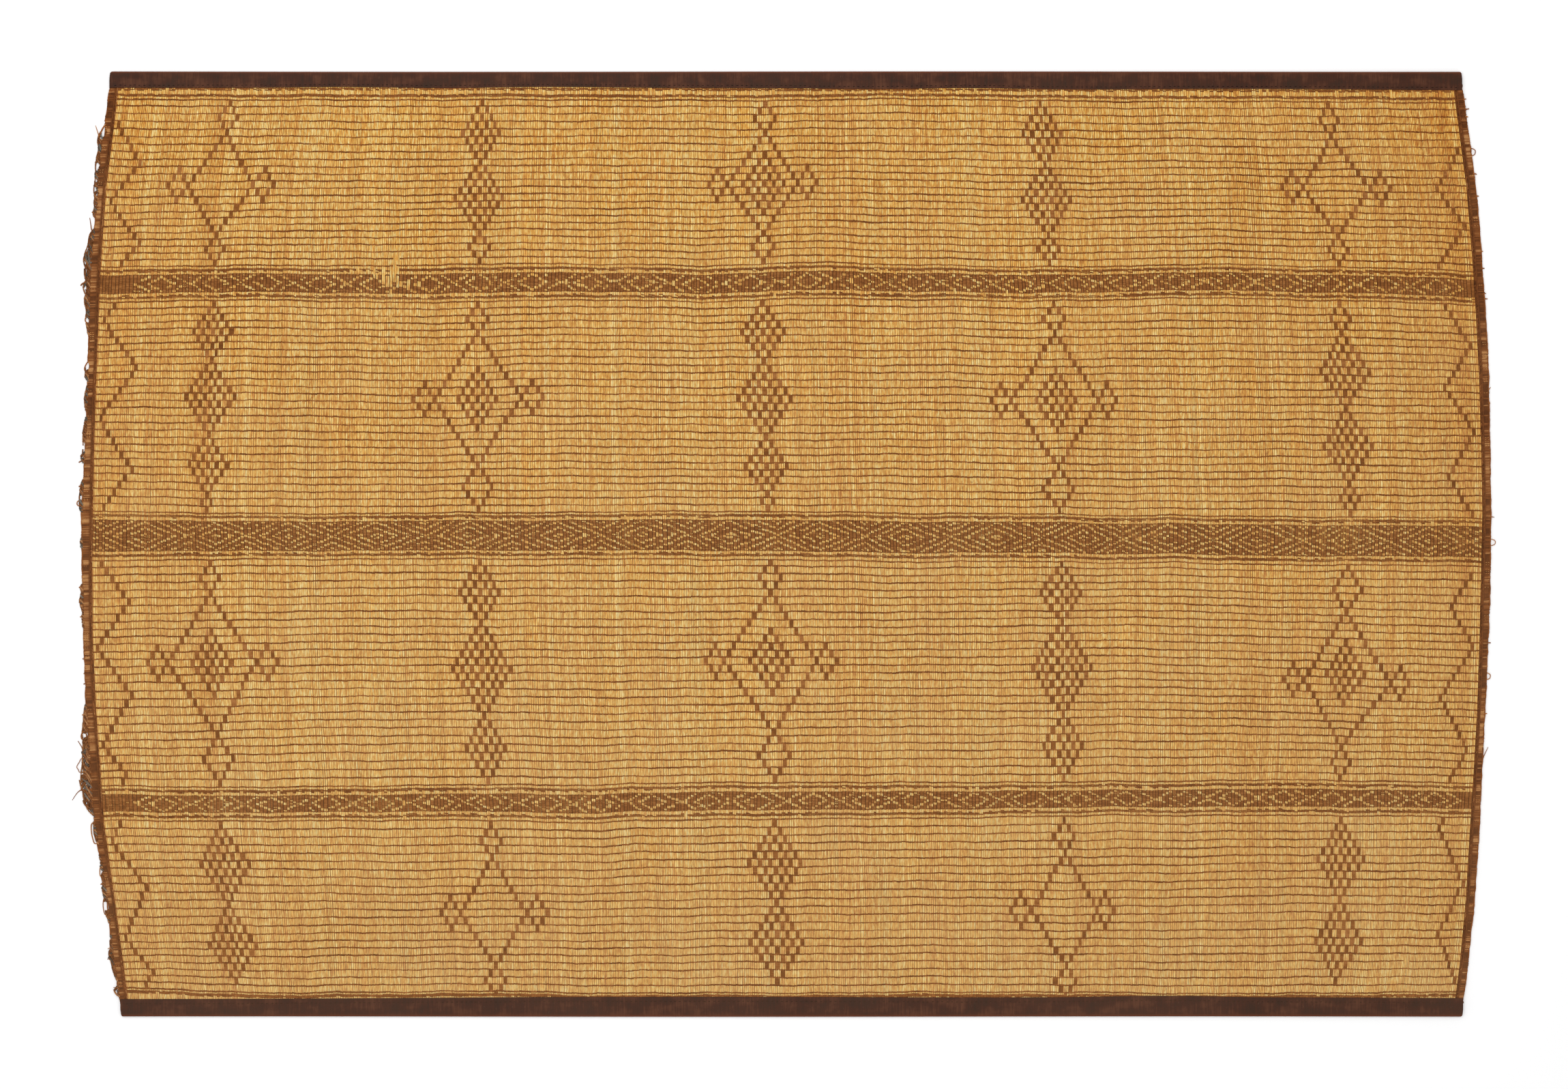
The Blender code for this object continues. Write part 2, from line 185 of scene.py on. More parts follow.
def rowLine(which, row):
    # height of a thong row at every reed boundary
    panel = panels[which]
    anchors = sorted(panel["heights"])
    low = max(anchor for anchor in anchors[:-1] if anchor <= row)
    high = anchors[anchors.index(low) + 1]

    def place(r):
        return r - low if low or not r else r - 1 + panel["firstGap"]

    t = place(row) / place(high)
    x = np.linspace(*rowWaves["ends"], reedField["reeds"] + 1)
    upper, lower = (curveAt(rowPlaces, panel["heights"][anchor], x) / 1000 for anchor in (low, high))
    line = upper * (1 - t) + lower * t
    for *spot, size in pulls:
        line = line + size / 1000 * softSpot(x, line, *spot)
    phases = wavePhases[sum(above["rows"] for above in panels[:which]) + row]
    return line + sum(size * np.sin(2 * math.pi * x / length + phase)
                      for size, length, phase in zip(rowWaves["sizes"], rowWaves["lengths"], phases))


rowLines = [[rowLine(which, row) for row in range(panel["rows"])] for which, panel in enumerate(panels)]


def tonesAbout(chance, mean, spread, count=None, more=0):
    return np.clip(chance.normal(mean, spread, count) + more, 0, 1)


def slowDrift(chance, size, count, at, ends=(-1, 1)):
    # a slow random change along a length, read at any places
    return np.interp(at, np.linspace(*ends, count), chance.normal(0, size, count))


# Making and joining pieces. What repeats is modelled once, and its copies are joined in one mesh.

def startMesh():
    bpy.ops.object.select_all(action="DESELECT")


def faceOutwards():
    # from edit mode: turns every face outwards, and goes back to object mode
    bpy.ops.mesh.select_all(action="SELECT")
    bpy.ops.mesh.normals_make_consistent(inside=False)
    bpy.ops.object.mode_set(mode="OBJECT")


def pick(obj, kind, chosen):
    # selects the points, edges or faces whose corners pass the test, and stays in edit mode
    bpy.context.view_layer.objects.active = obj
    obj.select_set(True)
    bpy.ops.object.mode_set(mode="EDIT")
    bpy.ops.mesh.select_mode(type=kind)
    bpy.ops.mesh.select_all(action="DESELECT")
    bpy.ops.object.mode_set(mode="OBJECT")
    mesh = obj.data
    for item in {"VERT": mesh.vertices, "EDGE": mesh.edges, "FACE": mesh.polygons}[kind]:
        corners = (item.index,) if kind == "VERT" else item.vertices
        item.select = chosen([mesh.vertices[v].co for v in corners])
    bpy.ops.object.mode_set(mode="EDIT")


def cutRod(corners, length, turned, cuts, caps="NGON"):
    # a cylinder laid along its length and cut across evenly, left in edit mode
    startMesh()
    bpy.ops.mesh.primitive_cylinder_add(vertices=corners, radius=1, depth=length, end_fill_type=caps, rotation=turned)
    rod = bpy.context.object
    bpy.ops.object.transform_apply(location=True, rotation=True, scale=True)
    pick(rod, "EDGE", lambda ends: (ends[0] - ends[1]).length > 0.9 * length)
    bpy.ops.mesh.subdivide(number_cuts=cuts)
    return rod


def takeForm(obj):
    # the points and faces of a modelled form, which then leaves the scene
    mesh = obj.data
    form = {"points": np.array([v.co[:] for v in mesh.vertices]), "faces": [tuple(p.vertices) for p in mesh.polygons]}
    bpy.data.objects.remove(obj)
    bpy.data.meshes.remove(mesh)
    return form


def setValues(mesh, shape, **values):
    # a number for every point of the mesh, under each name
    for label, value in values.items():
        layer = mesh.attributes.new(label, "FLOAT", "POINT")
        layer.data.foreach_set("value", np.broadcast_to(value, shape).astype(np.float32).ravel())


def placeMesh(name, mesh):
    mesh.polygons.foreach_set("use_smooth", np.full(len(mesh.polygons), True))
    obj = bpy.data.objects.new(name, mesh)
    bpy.context.scene.collection.objects.link(obj)
    return obj


def joinCopies(name, form, places, **values):
    # places holds the points of every copy; values are numbers, one a point
    copies, count = places.shape[:2]
    corners = np.array([v for face in form["faces"] for v in face])
    sizes = np.tile([len(face) for face in form["faces"]], copies)
    mesh = bpy.data.meshes.new(name)
    mesh.vertices.add(copies * count)
    mesh.vertices.foreach_set("co", places.astype(np.float32).ravel())
    mesh.loops.add(copies * len(corners))
    shift = np.arange(copies)[:, None] * count
    mesh.loops.foreach_set("vertex_index", (corners[None] + shift).ravel().astype(np.int32))
    mesh.polygons.add(len(sizes))
    mesh.polygons.foreach_set("loop_start", (np.cumsum(sizes) - sizes).astype(np.int32))
    mesh.update(calc_edges=True)
    setValues(mesh, (copies, count), **values)
    return placeMesh(name, mesh)


def strandOf(x, y, z, radii, tone, flat=1.0):
    # a thong that follows its points; flat is its height against its width
    return {"points": np.stack(np.broadcast_arrays(x, y, z), axis=1), "radii": radii, "tone": tone, "flat": flat}


def joinTubes(name, strands, sides):
    # one mesh of the strands as tubes, closed at both ends
    points, faces, tones, edges = [], [], [], []
    start = 0
    turn = np.linspace(0, 2 * math.pi, sides, endpoint=False)
    for strand in strands:
        path = np.asarray(strand["points"], float)
        radii = np.broadcast_to(strand["radii"], len(path))
        along = np.gradient(path, axis=0)
        along /= np.linalg.norm(along, axis=1)[:, None] + 1e-12
        across = np.cross(along, (0.0, 0.0, 1.0))
        across /= np.linalg.norm(across, axis=1)[:, None] + 1e-12
        up = np.cross(across, along) * strand["flat"]
        ring = (path[:, None] + radii[:, None, None]
                * (np.cos(turn)[None, :, None] * across[:, None] + np.sin(turn)[None, :, None] * up[:, None]))
        points.append(ring.reshape(-1, 3))
        steps = len(path)
        for k in range(steps - 1):
            for s in range(sides):
                a, b = start + k * sides + s, start + k * sides + (s + 1) % sides
                faces.append((a, a + sides, b + sides, b))
        faces.append(tuple(start + s for s in range(sides)))
        faces.append(tuple(start + (steps - 1) * sides + s for s in reversed(range(sides))))
        tones.append(np.full(steps * sides, strand["tone"]))
        # edge: painted shade on the lower half of every tube
        edges.append(np.tile(np.clip(-np.sin(turn), 0, 1), steps))
        start += steps * sides
    mesh = bpy.data.meshes.new(name)
    mesh.from_pydata(np.concatenate(points).tolist(), [], faces)
    setValues(mesh, start, tone=np.concatenate(tones), edge=np.concatenate(edges))
    return outwards(placeMesh(name, mesh))


def outwards(obj):
    startMesh()
    obj.select_set(True)
    bpy.context.view_layer.objects.active = obj
    bpy.ops.object.mode_set(mode="EDIT")
    faceOutwards()
    obj.select_set(False)
    return obj


def finishPiece(obj, material, stands=()):
    obj.data.materials.clear()
    obj.data.materials.append(material)
    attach(obj, "root")
    if stands:
        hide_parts(*stands)
    print("made", obj.name, "with", sum(len(p.vertices) - 2 for p in obj.data.polygons), "triangles")
    return obj


# Materials. Colours are written as they look, 0 to 255, and turned to light here.

def tint(*color):
    shares = [v / 255 for v in color]
    return (*(v / 12.92 if v <= 0.04045 else ((v + 0.055) / 1.055) ** 2.4 for v in shares), 1)


def put(tree, kind, x, y, settings=None, values=None, feeds=None):
    # a node at its place, with its settings, its fixed values, and the sockets that feed it
    node = tree.nodes.new(kind)
    node.location = (x, y)
    for name, value in (settings or {}).items():
        setattr(node, name, value)
    for name, value in (values or {}).items():
        node.inputs[name].default_value = value
    for name, source in (feeds or {}).items():
        tree.links.new(source, node.inputs[name])
    return node


def useGroup(tree, group, x, y, values=None, feeds=None):
    return put(tree, "ShaderNodeGroup", x, y, {"node_tree": group}, values, feeds)


def mixColors(tree, x, y, factor, first, second):
    return put(tree, "ShaderNodeMix", x, y, {"data_type": "RGBA"}, None,
               {"Factor": factor, 6: first, 7: second}).outputs[2]


def mixValues(tree, x, y, share, first, second):
    return put(tree, "ShaderNodeMix", x, y, {"data_type": "FLOAT"}, {"Factor": share},
               {2: first, 3: second}).outputs[0]


def calculate(tree, x, y, operation, first, second, clamp=True):
    return put(tree, "ShaderNodeMath", x, y, {"operation": operation, "use_clamp": clamp}, None,
               {0: first, 1: second}).outputs[0]


def startGroup(name, inputs, outputs):
    group = bpy.data.node_groups.new(name, "ShaderNodeTree")
    kinds = {float: "NodeSocketFloat", tuple: "NodeSocketColor"}
    for label, value in inputs.items():
        socket = group.interface.new_socket(name=label, in_out="INPUT", socket_type=kinds[type(value)])
        socket.default_value = value
    for label, kind in outputs.items():
        group.interface.new_socket(name=label, in_out="OUTPUT", socket_type=kinds[kind])
    return group, put(group, "NodeGroupInput", -900, 0).outputs, put(group, "NodeGroupOutput", 700, 0).inputs


def makeDrawnGrain():
    # noise drawn out along the reeds or the leather: cells a metre, each way
    group, given, out = startGroup("drawnGrain", {
        "Cells Across": 300.0, "Cells Along": 40.0, "Low": 0.3, "High": 0.7}, {"Grain": float})
    place = put(group, "ShaderNodeTexCoord", -900, 300)
    scale = put(group, "ShaderNodeCombineXYZ", -700, 0, feeds={
        "X": given["Cells Across"], "Y": given["Cells Along"], "Z": given["Cells Along"]})
    drawn = put(group, "ShaderNodeVectorMath", -500, 200, {"operation": "MULTIPLY"}, feeds={
        0: place.outputs["Object"], 1: scale.outputs[0]})
    noise = put(group, "ShaderNodeTexNoise", -300, 200, values={"Scale": 1.0, "Detail": 2.0, "Roughness": 0.55},
                feeds={"Vector": drawn.outputs[0]})
    spread = put(group, "ShaderNodeMapRange", 0, 200, feeds={
        "Value": noise.outputs["Fac"], "From Min": given["Low"], "From Max": given["High"]})
    group.links.new(spread.outputs["Result"], out["Grain"])
    return group


def makeToneBlend():
    # a colour picked between dark, middle and light by tone, and drawn to the groove's colour by edge: painted shade on
    # reeds, thongs and threads, a lighter rim on the binding leather
    group, given, out = startGroup("toneBlend", {
        "Tone": 0.5, "Edge": 0.0, "Edge Sharpness": 3.0, "Edge Amount": 0.6, "Dark": tint(100, 60, 30),
        "Middle": tint(150, 100, 60), "Light": tint(200, 150, 90), "Groove": tint(80, 45, 20)}, {"Color": tuple})
    lower, upper = (put(group, "ShaderNodeMapRange", -600, y, values={"From Min": low, "From Max": low + 0.5},
                        feeds={"Value": given["Tone"]}).outputs["Result"] for y, low in ((300, 0.0), (0, 0.5)))
    dim = mixColors(group, -300, 300, lower, given["Dark"], given["Middle"])
    full = mixColors(group, 0, 200, upper, dim, given["Light"])
    sharp = calculate(group, -300, -200, "POWER", given["Edge"], given["Edge Sharpness"], False)
    amount = calculate(group, 0, -200, "MULTIPLY", sharp, given["Edge Amount"])
    group.links.new(mixColors(group, 300, 100, amount, full, given["Groove"]), out["Color"])
    return group


def makeOldMarks():
    # flecks over any finish, dust in clouds, and more of it towards the lower end
    group, given, out = startGroup("oldMarks", {
        "Color": tint(180, 130, 80), "Fleck Color": tint(120, 75, 40), "Fleck Amount": 0.5, "Fleck Level": 0.68,
        "Flecks Across": 420.0, "Flecks Along": 300.0, "Dust Color": tint(210, 190, 160), "Dust Amount": 0.1,
        "Age": 0.1, "Roughness": 0.6}, {"Color": tuple, "Roughness": float})
    flecks = useGroup(group, drawnGrain, -600, 300, {"High": 0.8}, {
        "Cells Across": given["Flecks Across"], "Cells Along": given["Flecks Along"], "Low": given["Fleck Level"]})
    fleckMask = calculate(group, -300, 300, "MULTIPLY", flecks.outputs["Grain"], given["Fleck Amount"])
    flecked = mixColors(group, -100, 200, fleckMask, given["Color"], given["Fleck Color"])
    cloud = useGroup(group, drawnGrain, -600, -200, {
        "Cells Across": 5.0, "Cells Along": 7.0, "Low": 0.35, "High": 0.75})
    dustMask = calculate(group, -300, -200, "MULTIPLY", cloud.outputs["Grain"], given["Dust Amount"])
    place = put(group, "ShaderNodeTexCoord", -900, -500)
    parts = put(group, "ShaderNodeSeparateXYZ", -700, -500, feeds={0: place.outputs["Object"]})
    lowEnd = put(group, "ShaderNodeMapRange", -500, -500, values={"From Min": 0.8, "From Max": -0.9},
                 feeds={"Value": parts.outputs["Y"]})
    aged = calculate(group, -300, -500, "MULTIPLY", lowEnd.outputs["Result"], given["Age"], False)
    allDust = calculate(group, 0, -350, "ADD", dustMask, aged)
    group.links.new(mixColors(group, 200, 100, allDust, flecked, given["Dust Color"]), out["Color"])
    group.links.new(calculate(group, 200, -200, "ADD", given["Roughness"], dustMask), out["Roughness"])
    return group


drawnGrain = makeDrawnGrain()
toneBlend = makeToneBlend()
oldMarks = makeOldMarks()


def lookValues(look, *keys):
    # a group's inputs by their own labels: edgeAmount of a look feeds Edge Amount
    labels = ["".join(" " + letter if letter.isupper() else letter for letter in key).title() for key in keys]
    return {label: tint(*look[key]) if isinstance(look[key], tuple) else look[key] for label, key in zip(labels, keys)}


def makeFinish(name, look):
    # one finish: tone by copy and by drawn-out noise, the groove's colour by edge (painted shade, except on the binding
    # leather), old marks, and a fine relief
    material = bpy.data.materials.new(name)
    material.use_nodes = True
    tree = material.node_tree
    shader = tree.nodes["Principled BSDF"]
    shader.inputs["Specular IOR Level"].default_value = look["specular"]
    tone, edge = (put(tree, "ShaderNodeAttribute", x, y, {"attribute_name": label}).outputs["Fac"]
                  for label, x, y in (("tone", -1500, 200), ("edge", -1100, -200)))
    patch, streak = (
        useGroup(tree, drawnGrain, -1500, y, {
            "Cells Across": look[kind + "Across"], "Cells Along": look[kind + "Along"], "Low": low, "High": high,
        }).outputs["Grain"] for kind, y, low, high in (("patch", 0, 0.34, 0.66), ("streak", -250, 0.25, 0.75)))
    patched = mixValues(tree, -1250, 100, look["patchShare"], tone, patch)
    drawn = mixValues(tree, -1050, 100, look["streakShare"], patched, streak)
    blend = useGroup(tree, toneBlend, -800, 100, lookValues(
        look, "dark", "middle", "light", "groove", "edgeSharpness", "edgeAmount"), {"Tone": drawn, "Edge": edge})
    marks = useGroup(tree, oldMarks, -500, 100, lookValues(
        look, "fleckColor", "fleckAmount", "fleckLevel", "flecksAcross", "flecksAlong", "dustColor", "dustAmount",
        "age", "roughness"), {"Color": blend.outputs["Color"]})
    bump = put(tree, "ShaderNodeBump", -300, -300, values={"Strength": look["relief"], "Distance": 0.0003},
               feeds={"Height": streak})
    for label, source in (("Base Color", marks.outputs["Color"]), ("Roughness", marks.outputs["Roughness"]),
                          ("Normal", bump.outputs["Normal"])):
        tree.links.new(source, shader.inputs[label])
    return material


def finishFrom(look, name, dark, middle, light, **changes):
    return makeFinish(name, {**look, "dark": dark, "middle": middle, "light": light, **changes})


reedLook = {
    # groove, edgeSharpness and edgeAmount: the painted shade in the grooves between reeds
    "dark": (188, 108, 34), "middle": (239, 182, 87), "light": (255, 237, 160), "groove": (120, 56, 14),
    "edgeSharpness": 2.3, "edgeAmount": 0.85, "patchAcross": 330.0, "patchAlong": 78.0, "patchShare": 0.76,
    "streakAcross": 1100.0, "streakAlong": 60.0, "streakShare": 0.24,
    "fleckColor": (134, 76, 28), "fleckAmount": 0.8, "fleckLevel": 0.615, "flecksAcross": 420.0, "flecksAlong": 105.0,
    "dustColor": (214, 182, 132), "dustAmount": 0.12, "age": 0.26, "roughness": 0.5, "specular": 0.12, "relief": 0.35,
}
reedGold = makeFinish("reedGold", reedLook)
reedStraw = finishFrom(reedLook, "reedStraw", (196, 122, 48), (242, 196, 106), (255, 241, 176))
reedRose = finishFrom(reedLook, "reedRose", (184, 102, 38), (232, 172, 82), (254, 222, 142))

thongLook = {
    # groove, edgeSharpness and edgeAmount: painted shade at the stitches' bases and on the tubes' undersides
    "dark": (92, 46, 12), "middle": (144, 82, 33), "light": (194, 124, 66), "groove": (68, 30, 6),
    "edgeSharpness": 1.6, "edgeAmount": 0.7, "patchAcross": 120.0, "patchAlong": 120.0, "patchShare": 0.35,
    "streakAcross": 900.0, "streakAlong": 900.0, "streakShare": 0.25,
    "fleckColor": (60, 34, 18), "fleckAmount": 0.5, "fleckLevel": 0.62, "flecksAcross": 300.0, "flecksAlong": 300.0,
    "dustColor": (170, 126, 84), "dustAmount": 0.08, "age": 0.1, "roughness": 0.6, "specular": 0.08, "relief": 0.3,
}
rowThong = makeFinish("rowThong", thongLook)
bandThong = finishFrom(thongLook, "bandThong", (104, 60, 22), (150, 92, 42), (192, 132, 72), edgeAmount=0.5)
# painted shade in the grooves between a band's columns
grooveShadeThong = finishFrom(thongLook, "grooveShadeThong", (50, 24, 8), (76, 40, 14), (104, 58, 26), edgeAmount=0.4)
cordThong = finishFrom(thongLook, "cordThong", (92, 46, 14), (140, 82, 34), (184, 118, 60), edgeAmount=0.6)
motifThong = finishFrom(thongLook, "motifThong", (96, 52, 14), (146, 88, 36), (188, 126, 70), edgeAmount=0.4)
sideThong = finishFrom(thongLook, "sideThong", (70, 34, 10), (150, 88, 42), (232, 172, 108),
                       edgeAmount=0.5, patchShare=0.15, streakShare=0.15)
frayThong = finishFrom(thongLook, "frayThong", (52, 28, 12), (128, 76, 40), (198, 146, 98),
                       edgeAmount=0.6, patchAcross=160.0, patchAlong=160.0, patchShare=0.4)
greyThong = finishFrom(thongLook, "greyThong", (46, 40, 34), (92, 84, 74), (136, 128, 116),
                       edgeAmount=0.5, patchAcross=160.0, patchAlong=160.0)
glintStraw = finishFrom(thongLook, "glintStraw", (176, 112, 58), (208, 148, 84), (236, 186, 122), edgeAmount=0.4)
# the painted shade seen in the gaps between the reeds
groundShade = finishFrom(thongLook, "groundShade", (70, 40, 18), (92, 54, 26), (112, 68, 34))
bindingHide = finishFrom(
    thongLook, "bindingHide", (46, 31, 20), (66, 34, 19), (98, 58, 37), groove=(106, 50, 23), edgeSharpness=1.0,
    patchAcross=26.0, patchAlong=40.0, patchShare=0.8, streakAcross=300.0, streakAlong=24.0, streakShare=0.4,
    fleckColor=(112, 84, 66), fleckAmount=0.4, fleckLevel=0.66, flecksAcross=500.0, flecksAlong=120.0,
    dustColor=(110, 80, 62), dustAmount=0.1, roughness=0.5, specular=0.14, relief=0.25)
hideThread = finishFrom(thongLook, "hideThread", (14, 8, 6), (22, 12, 8), (38, 22, 14), groove=(12, 8, 6))
print("finishes are ready")


# The dark ground under the reeds: a thin sheet at mid height, seen only in the gaps between them, which paints the
# shade in those gaps.

groundSheet = {"height": 0.0019, "thickness": 0.0004, "cellsAcross": 40, "cellsUp": 28, "inset": -0.0012,
               "endInset": 0.001}


def makeGround():
    startMesh()
    bpy.ops.mesh.primitive_grid_add(x_subdivisions=groundSheet["cellsAcross"], y_subdivisions=groundSheet["cellsUp"],
                                    size=2, location=(0, 0, 0))
    ground = bpy.context.object
    ground.name = "shade_sheet"
    end = reedField["end"] - groundSheet["endInset"]
    for v in ground.data.vertices:
        y = v.co.y * end
        left, right = sideAt("leftSeam", y) + groundSheet["inset"], sideAt("rightSeam", y) - groundSheet["inset"]
        v.co = (left + (right - left) * (v.co.x + 1) / 2, y, groundSheet["height"] + liftAt(y))
    modifier = ground.modifiers.new("thickness", "SOLIDIFY")
    modifier.thickness = groundSheet["thickness"]
    modifier.offset = 0
    bpy.ops.object.modifier_apply(modifier=modifier.name)
    setValues(ground.data, len(ground.data.vertices), tone=0.4, edge=0.0)
    return finishPiece(ground, groundShade)


ground = makeGround()


# The reeds. One is modelled as a six-sided rod with cuts along it and a corner up, then laid 840 times.

reedRows = {
    "seed": 5,
    "finishes": (("reeds_gold", reedGold), ("reeds_straw", reedStraw), ("reeds_rose", reedRose)),
    "shares": (0.46, 0.36),                 # of the first two finishes
    "narrowest": 0.90, "lowest": 0.00025,   # a reed's least share of its room, and how far its crown may drop
    "mood": {"tone": 0.5, "own": 0.2, "shared": 0.1, "run": 9},     # partly shared with a run of reeds beside it
    # crest and edges: where on a reed's side the painted groove shade starts, and its random strength
    "crest": 0.5, "edges": (0.45, 1.1), "stainWidth": 0.0016, "stainTone": 0.5,
    "stains": (  # reddish streaks along single reeds: x, top, bottom, strength
        (-0.6715, -0.24, -0.48, 0.55), (-0.5010, -0.03, -0.45, 0.5), (0.3740, -0.03, -0.45, 0.5),
        (0.4870, -0.03, -0.45, 0.4), (-0.6280, -0.53, -0.87, 0.45)),
    "shades": (  # soft darker places: x, y, spread across, spread up, amount of tone
        (-1.34, 0.20, 0.22, 0.75, 0.5), (1.38, 0.30, 0.30, 0.90, 0.8), (1.38, 0.85, 0.35, 0.30, 0.4),
        (-0.86, 0.20, 0.16, 0.16, 0.4), (0.95, -0.45, 0.20, 0.25, 0.3), (-1.10, -0.90, 0.30, 0.20, 0.3),
        (0.00, -0.74, 4.00, 0.11, 0.36)),
}


def makeReeds():
    rod = cutRod(6, 2, (math.pi / 2, 0, 0), len(reedField["levels"]) - 2)
    faceOutwards()
    form = takeForm(rod)
    chance = np.random.default_rng(reedRows["seed"])
    count = reedField["reeds"]
    sideways, along, upwards = form["points"].T
    level = np.interp(along, np.linspace(-1, 1, len(reedField["levels"])), reedField["levels"])
    y = np.broadcast_to(level, (count, len(level)))
    shrink = chance.uniform(reedRows["narrowest"], 1.0, count)[:, None]
    x = acrossAt(np.arange(count)[:, None] + 0.5 + 0.5 * sideways[None] / sideways.max() * shrink, y)
    thick = (reedField["crown"] - reedField["underside"]) / 2
    drop = chance.uniform(0, reedRows["lowest"], count)[:, None]
    z = reedField["underside"] + thick + upwards[None] * (thick - drop) + liftAt(y)
    places = np.stack((x, y, z), axis=2)
    mood, crest = reedRows["mood"], reedRows["crest"]
    run = np.ones(mood["run"]) / math.sqrt(mood["run"])
    slow = np.convolve(chance.normal(0, 1, count + len(run) - 1), run, "valid")
    moods = np.clip(mood["tone"] + mood["own"] * chance.normal(0, 1, count) + mood["shared"] * slow, 0, 1)[:, None]
    kind = np.searchsorted(np.cumsum(reedRows["shares"]), chance.random(count))
    # edge: painted shade on each reed's flanks, darkest in the grooves between the reeds
    edge = np.clip(1 - (upwards[None] - crest) / (1 - crest), 0, 1) * chance.uniform(*reedRows["edges"], x.shape)
    stain = np.zeros_like(x)
    for where, top, bottom, strength in reedRows["stains"]:
        inside = (y < top) & (y > bottom)
        stain += strength * np.exp(-((x - where) / reedRows["stainWidth"]) ** 2) * inside
    shade = np.zeros_like(x)
    for *spot, amount in reedRows["shades"]:
        shade += amount * softSpot(x, y, *spot)
    tone = moods - reedRows["stainTone"] * stain - shade
    for k, (name, finish) in enumerate(reedRows["finishes"]):
        mine = kind == k
        obj = joinCopies(name, form, places[mine], tone=tone[mine], edge=edge[mine])
        finishPiece(obj, finish, ("reed_field",) if k == 0 else ())


makeReeds()


# Thong stitches: one form like a small roof, laid over a pair of reeds, its ends dipping between them.

stitchForm = {"ridge": 0.62, "sink": 0.0003}


def modelStitch():
    startMesh()
    bpy.ops.mesh.primitive_cube_add(size=1, location=(0, 0, 0.5))
    stitch = bpy.context.object
    bpy.ops.object.transform_apply(location=True, rotation=True, scale=True)
    pick(stitch, "FACE", lambda ends: all(p.z < 0.01 for p in ends))
    bpy.ops.mesh.delete(type="ONLY_FACE")
    pick(stitch, "VERT", lambda ends: ends[0].z > 0.99)
    bpy.ops.transform.resize(value=(stitchForm["ridge"], 0, 1))
    bpy.ops.mesh.remove_doubles(threshold=0.001)
    faceOutwards()
    return takeForm(stitch)


roofStitch = modelStitch()


def stitchesBetween(ax, ay, bx, by, width, height, tone, sink=stitchForm["sink"]):
    # stitches from (ax, ay) to (bx, by), resting on the reeds
    ax, ay, bx, by = (np.asarray(v, float).ravel() for v in (ax, ay, bx, by))
    count = len(ax)
    along = np.stack((bx - ax, by - ay, np.zeros(count)), axis=1)
    length = np.linalg.norm(along, axis=1)[:, None]
    across = np.stack((-along[:, 1], along[:, 0], np.zeros(count)), axis=1) / length
    across = across * np.broadcast_to(width, count)[:, None]
    base = reedField["crown"] + liftAt((ay + by) / 2) - sink
    centre = np.stack(((ax + bx) / 2, (ay + by) / 2, base), axis=1)
    up = np.zeros((count, 3))
    up[:, 2] = np.broadcast_to(height, count) + sink
    p = roofStitch["points"]
    places = (centre[:, None] + p[None, :, 0:1] * along[:, None] + p[None, :, 1:2] * across[:, None]
              + p[None, :, 2:3] * up[:, None])
    shape = places.shape[:2]
    # edge: painted shade, darkest at each stitch's base where it meets the reeds
    return {"places": places, "tone": np.broadcast_to(np.broadcast_to(tone, count)[:, None], shape),
            "edge": np.broadcast_to(1 - p[None, :, 2], shape)}


def joinStitches(name, parts, finish):
    places, tone, edge = (np.concatenate([part[key] for part in parts]) for key in ("places", "tone", "edge"))
    return finishPiece(joinCopies(name, roofStitch, places, tone=tone, edge=edge), finish)


# The thin thong rows of the four panels, one slanted stitch to a pair of reeds. Their tones are a mean and a spread.

thongRows = {"width": 0.0028, "height": 0.00062, "slant": 0.00026, "beyond": 0.03, "jitter": 0.00016, "drift": 0.2,
             "driftSteps": 30, "thinning": 0.6, "widths": (0.88, 1.1), "heights": (0.85, 1.1), "tones": (0.5, 0.22),
             "seed": 41}
worn = (  # places where the thongs have gone: panel, row, first reed, last reed
    (0, 22, 180, 184), (0, 23, 180, 182), (1, 2, 178, 180), (1, 5, 182, 184), (3, 18, 803, 806))


def rowStitches(line, chance, keep, width, height, slant=thongRows["slant"], beyond=thongRows["beyond"]):
    # a row of stitches along a line; beyond is how far each reaches past its pair, in reeds
    count = len(pairs)
    start, stop = 2 * pairs, 2 * pairs + 2
    jitter = chance.normal(0, thongRows["jitter"], count)
    ay, by = line[start] + jitter + slant, line[stop] + jitter - slant
    ax = acrossAt(np.maximum(start - beyond, 0), ay)
    bx = acrossAt(np.minimum(stop + beyond, reedField["reeds"]), by)
    drift = slowDrift(chance, thongRows["drift"], thongRows["driftSteps"], pairs, (0, count))
    size = width * chance.uniform(*thongRows["widths"], count) * (1 - thongRows["thinning"] * drift)
    tone = tonesAbout(chance, *thongRows["tones"], count, drift)
    return stitchesBetween(ax[keep], ay[keep], bx[keep], by[keep], size[keep],
                           height * chance.uniform(*thongRows["heights"], keep.sum()), tone[keep])


def makeThongRows():
    chance = np.random.default_rng(thongRows["seed"])
    for name, both in (("thong_rows_upper", (0, 1)), ("thong_rows_lower", (2, 3))):
        parts = []
        for which in both:
            for row, line in enumerate(rowLines[which]):
                keep = np.full(len(pairs), True)
                for panel, wornRow, first, last in worn:
                    if (panel, wornRow) == (which, row):
                        keep &= (pairs * 2 + 2 <= first) | (pairs * 2 >= last)
                parts.append(rowStitches(line, chance, keep, thongRows["width"], thongRows["height"]))
        joinStitches(name, parts, rowThong)


makeThongRows()


# The three leather bands. Each leaves reeds bare in small dots that make its pattern, and cords flank it.

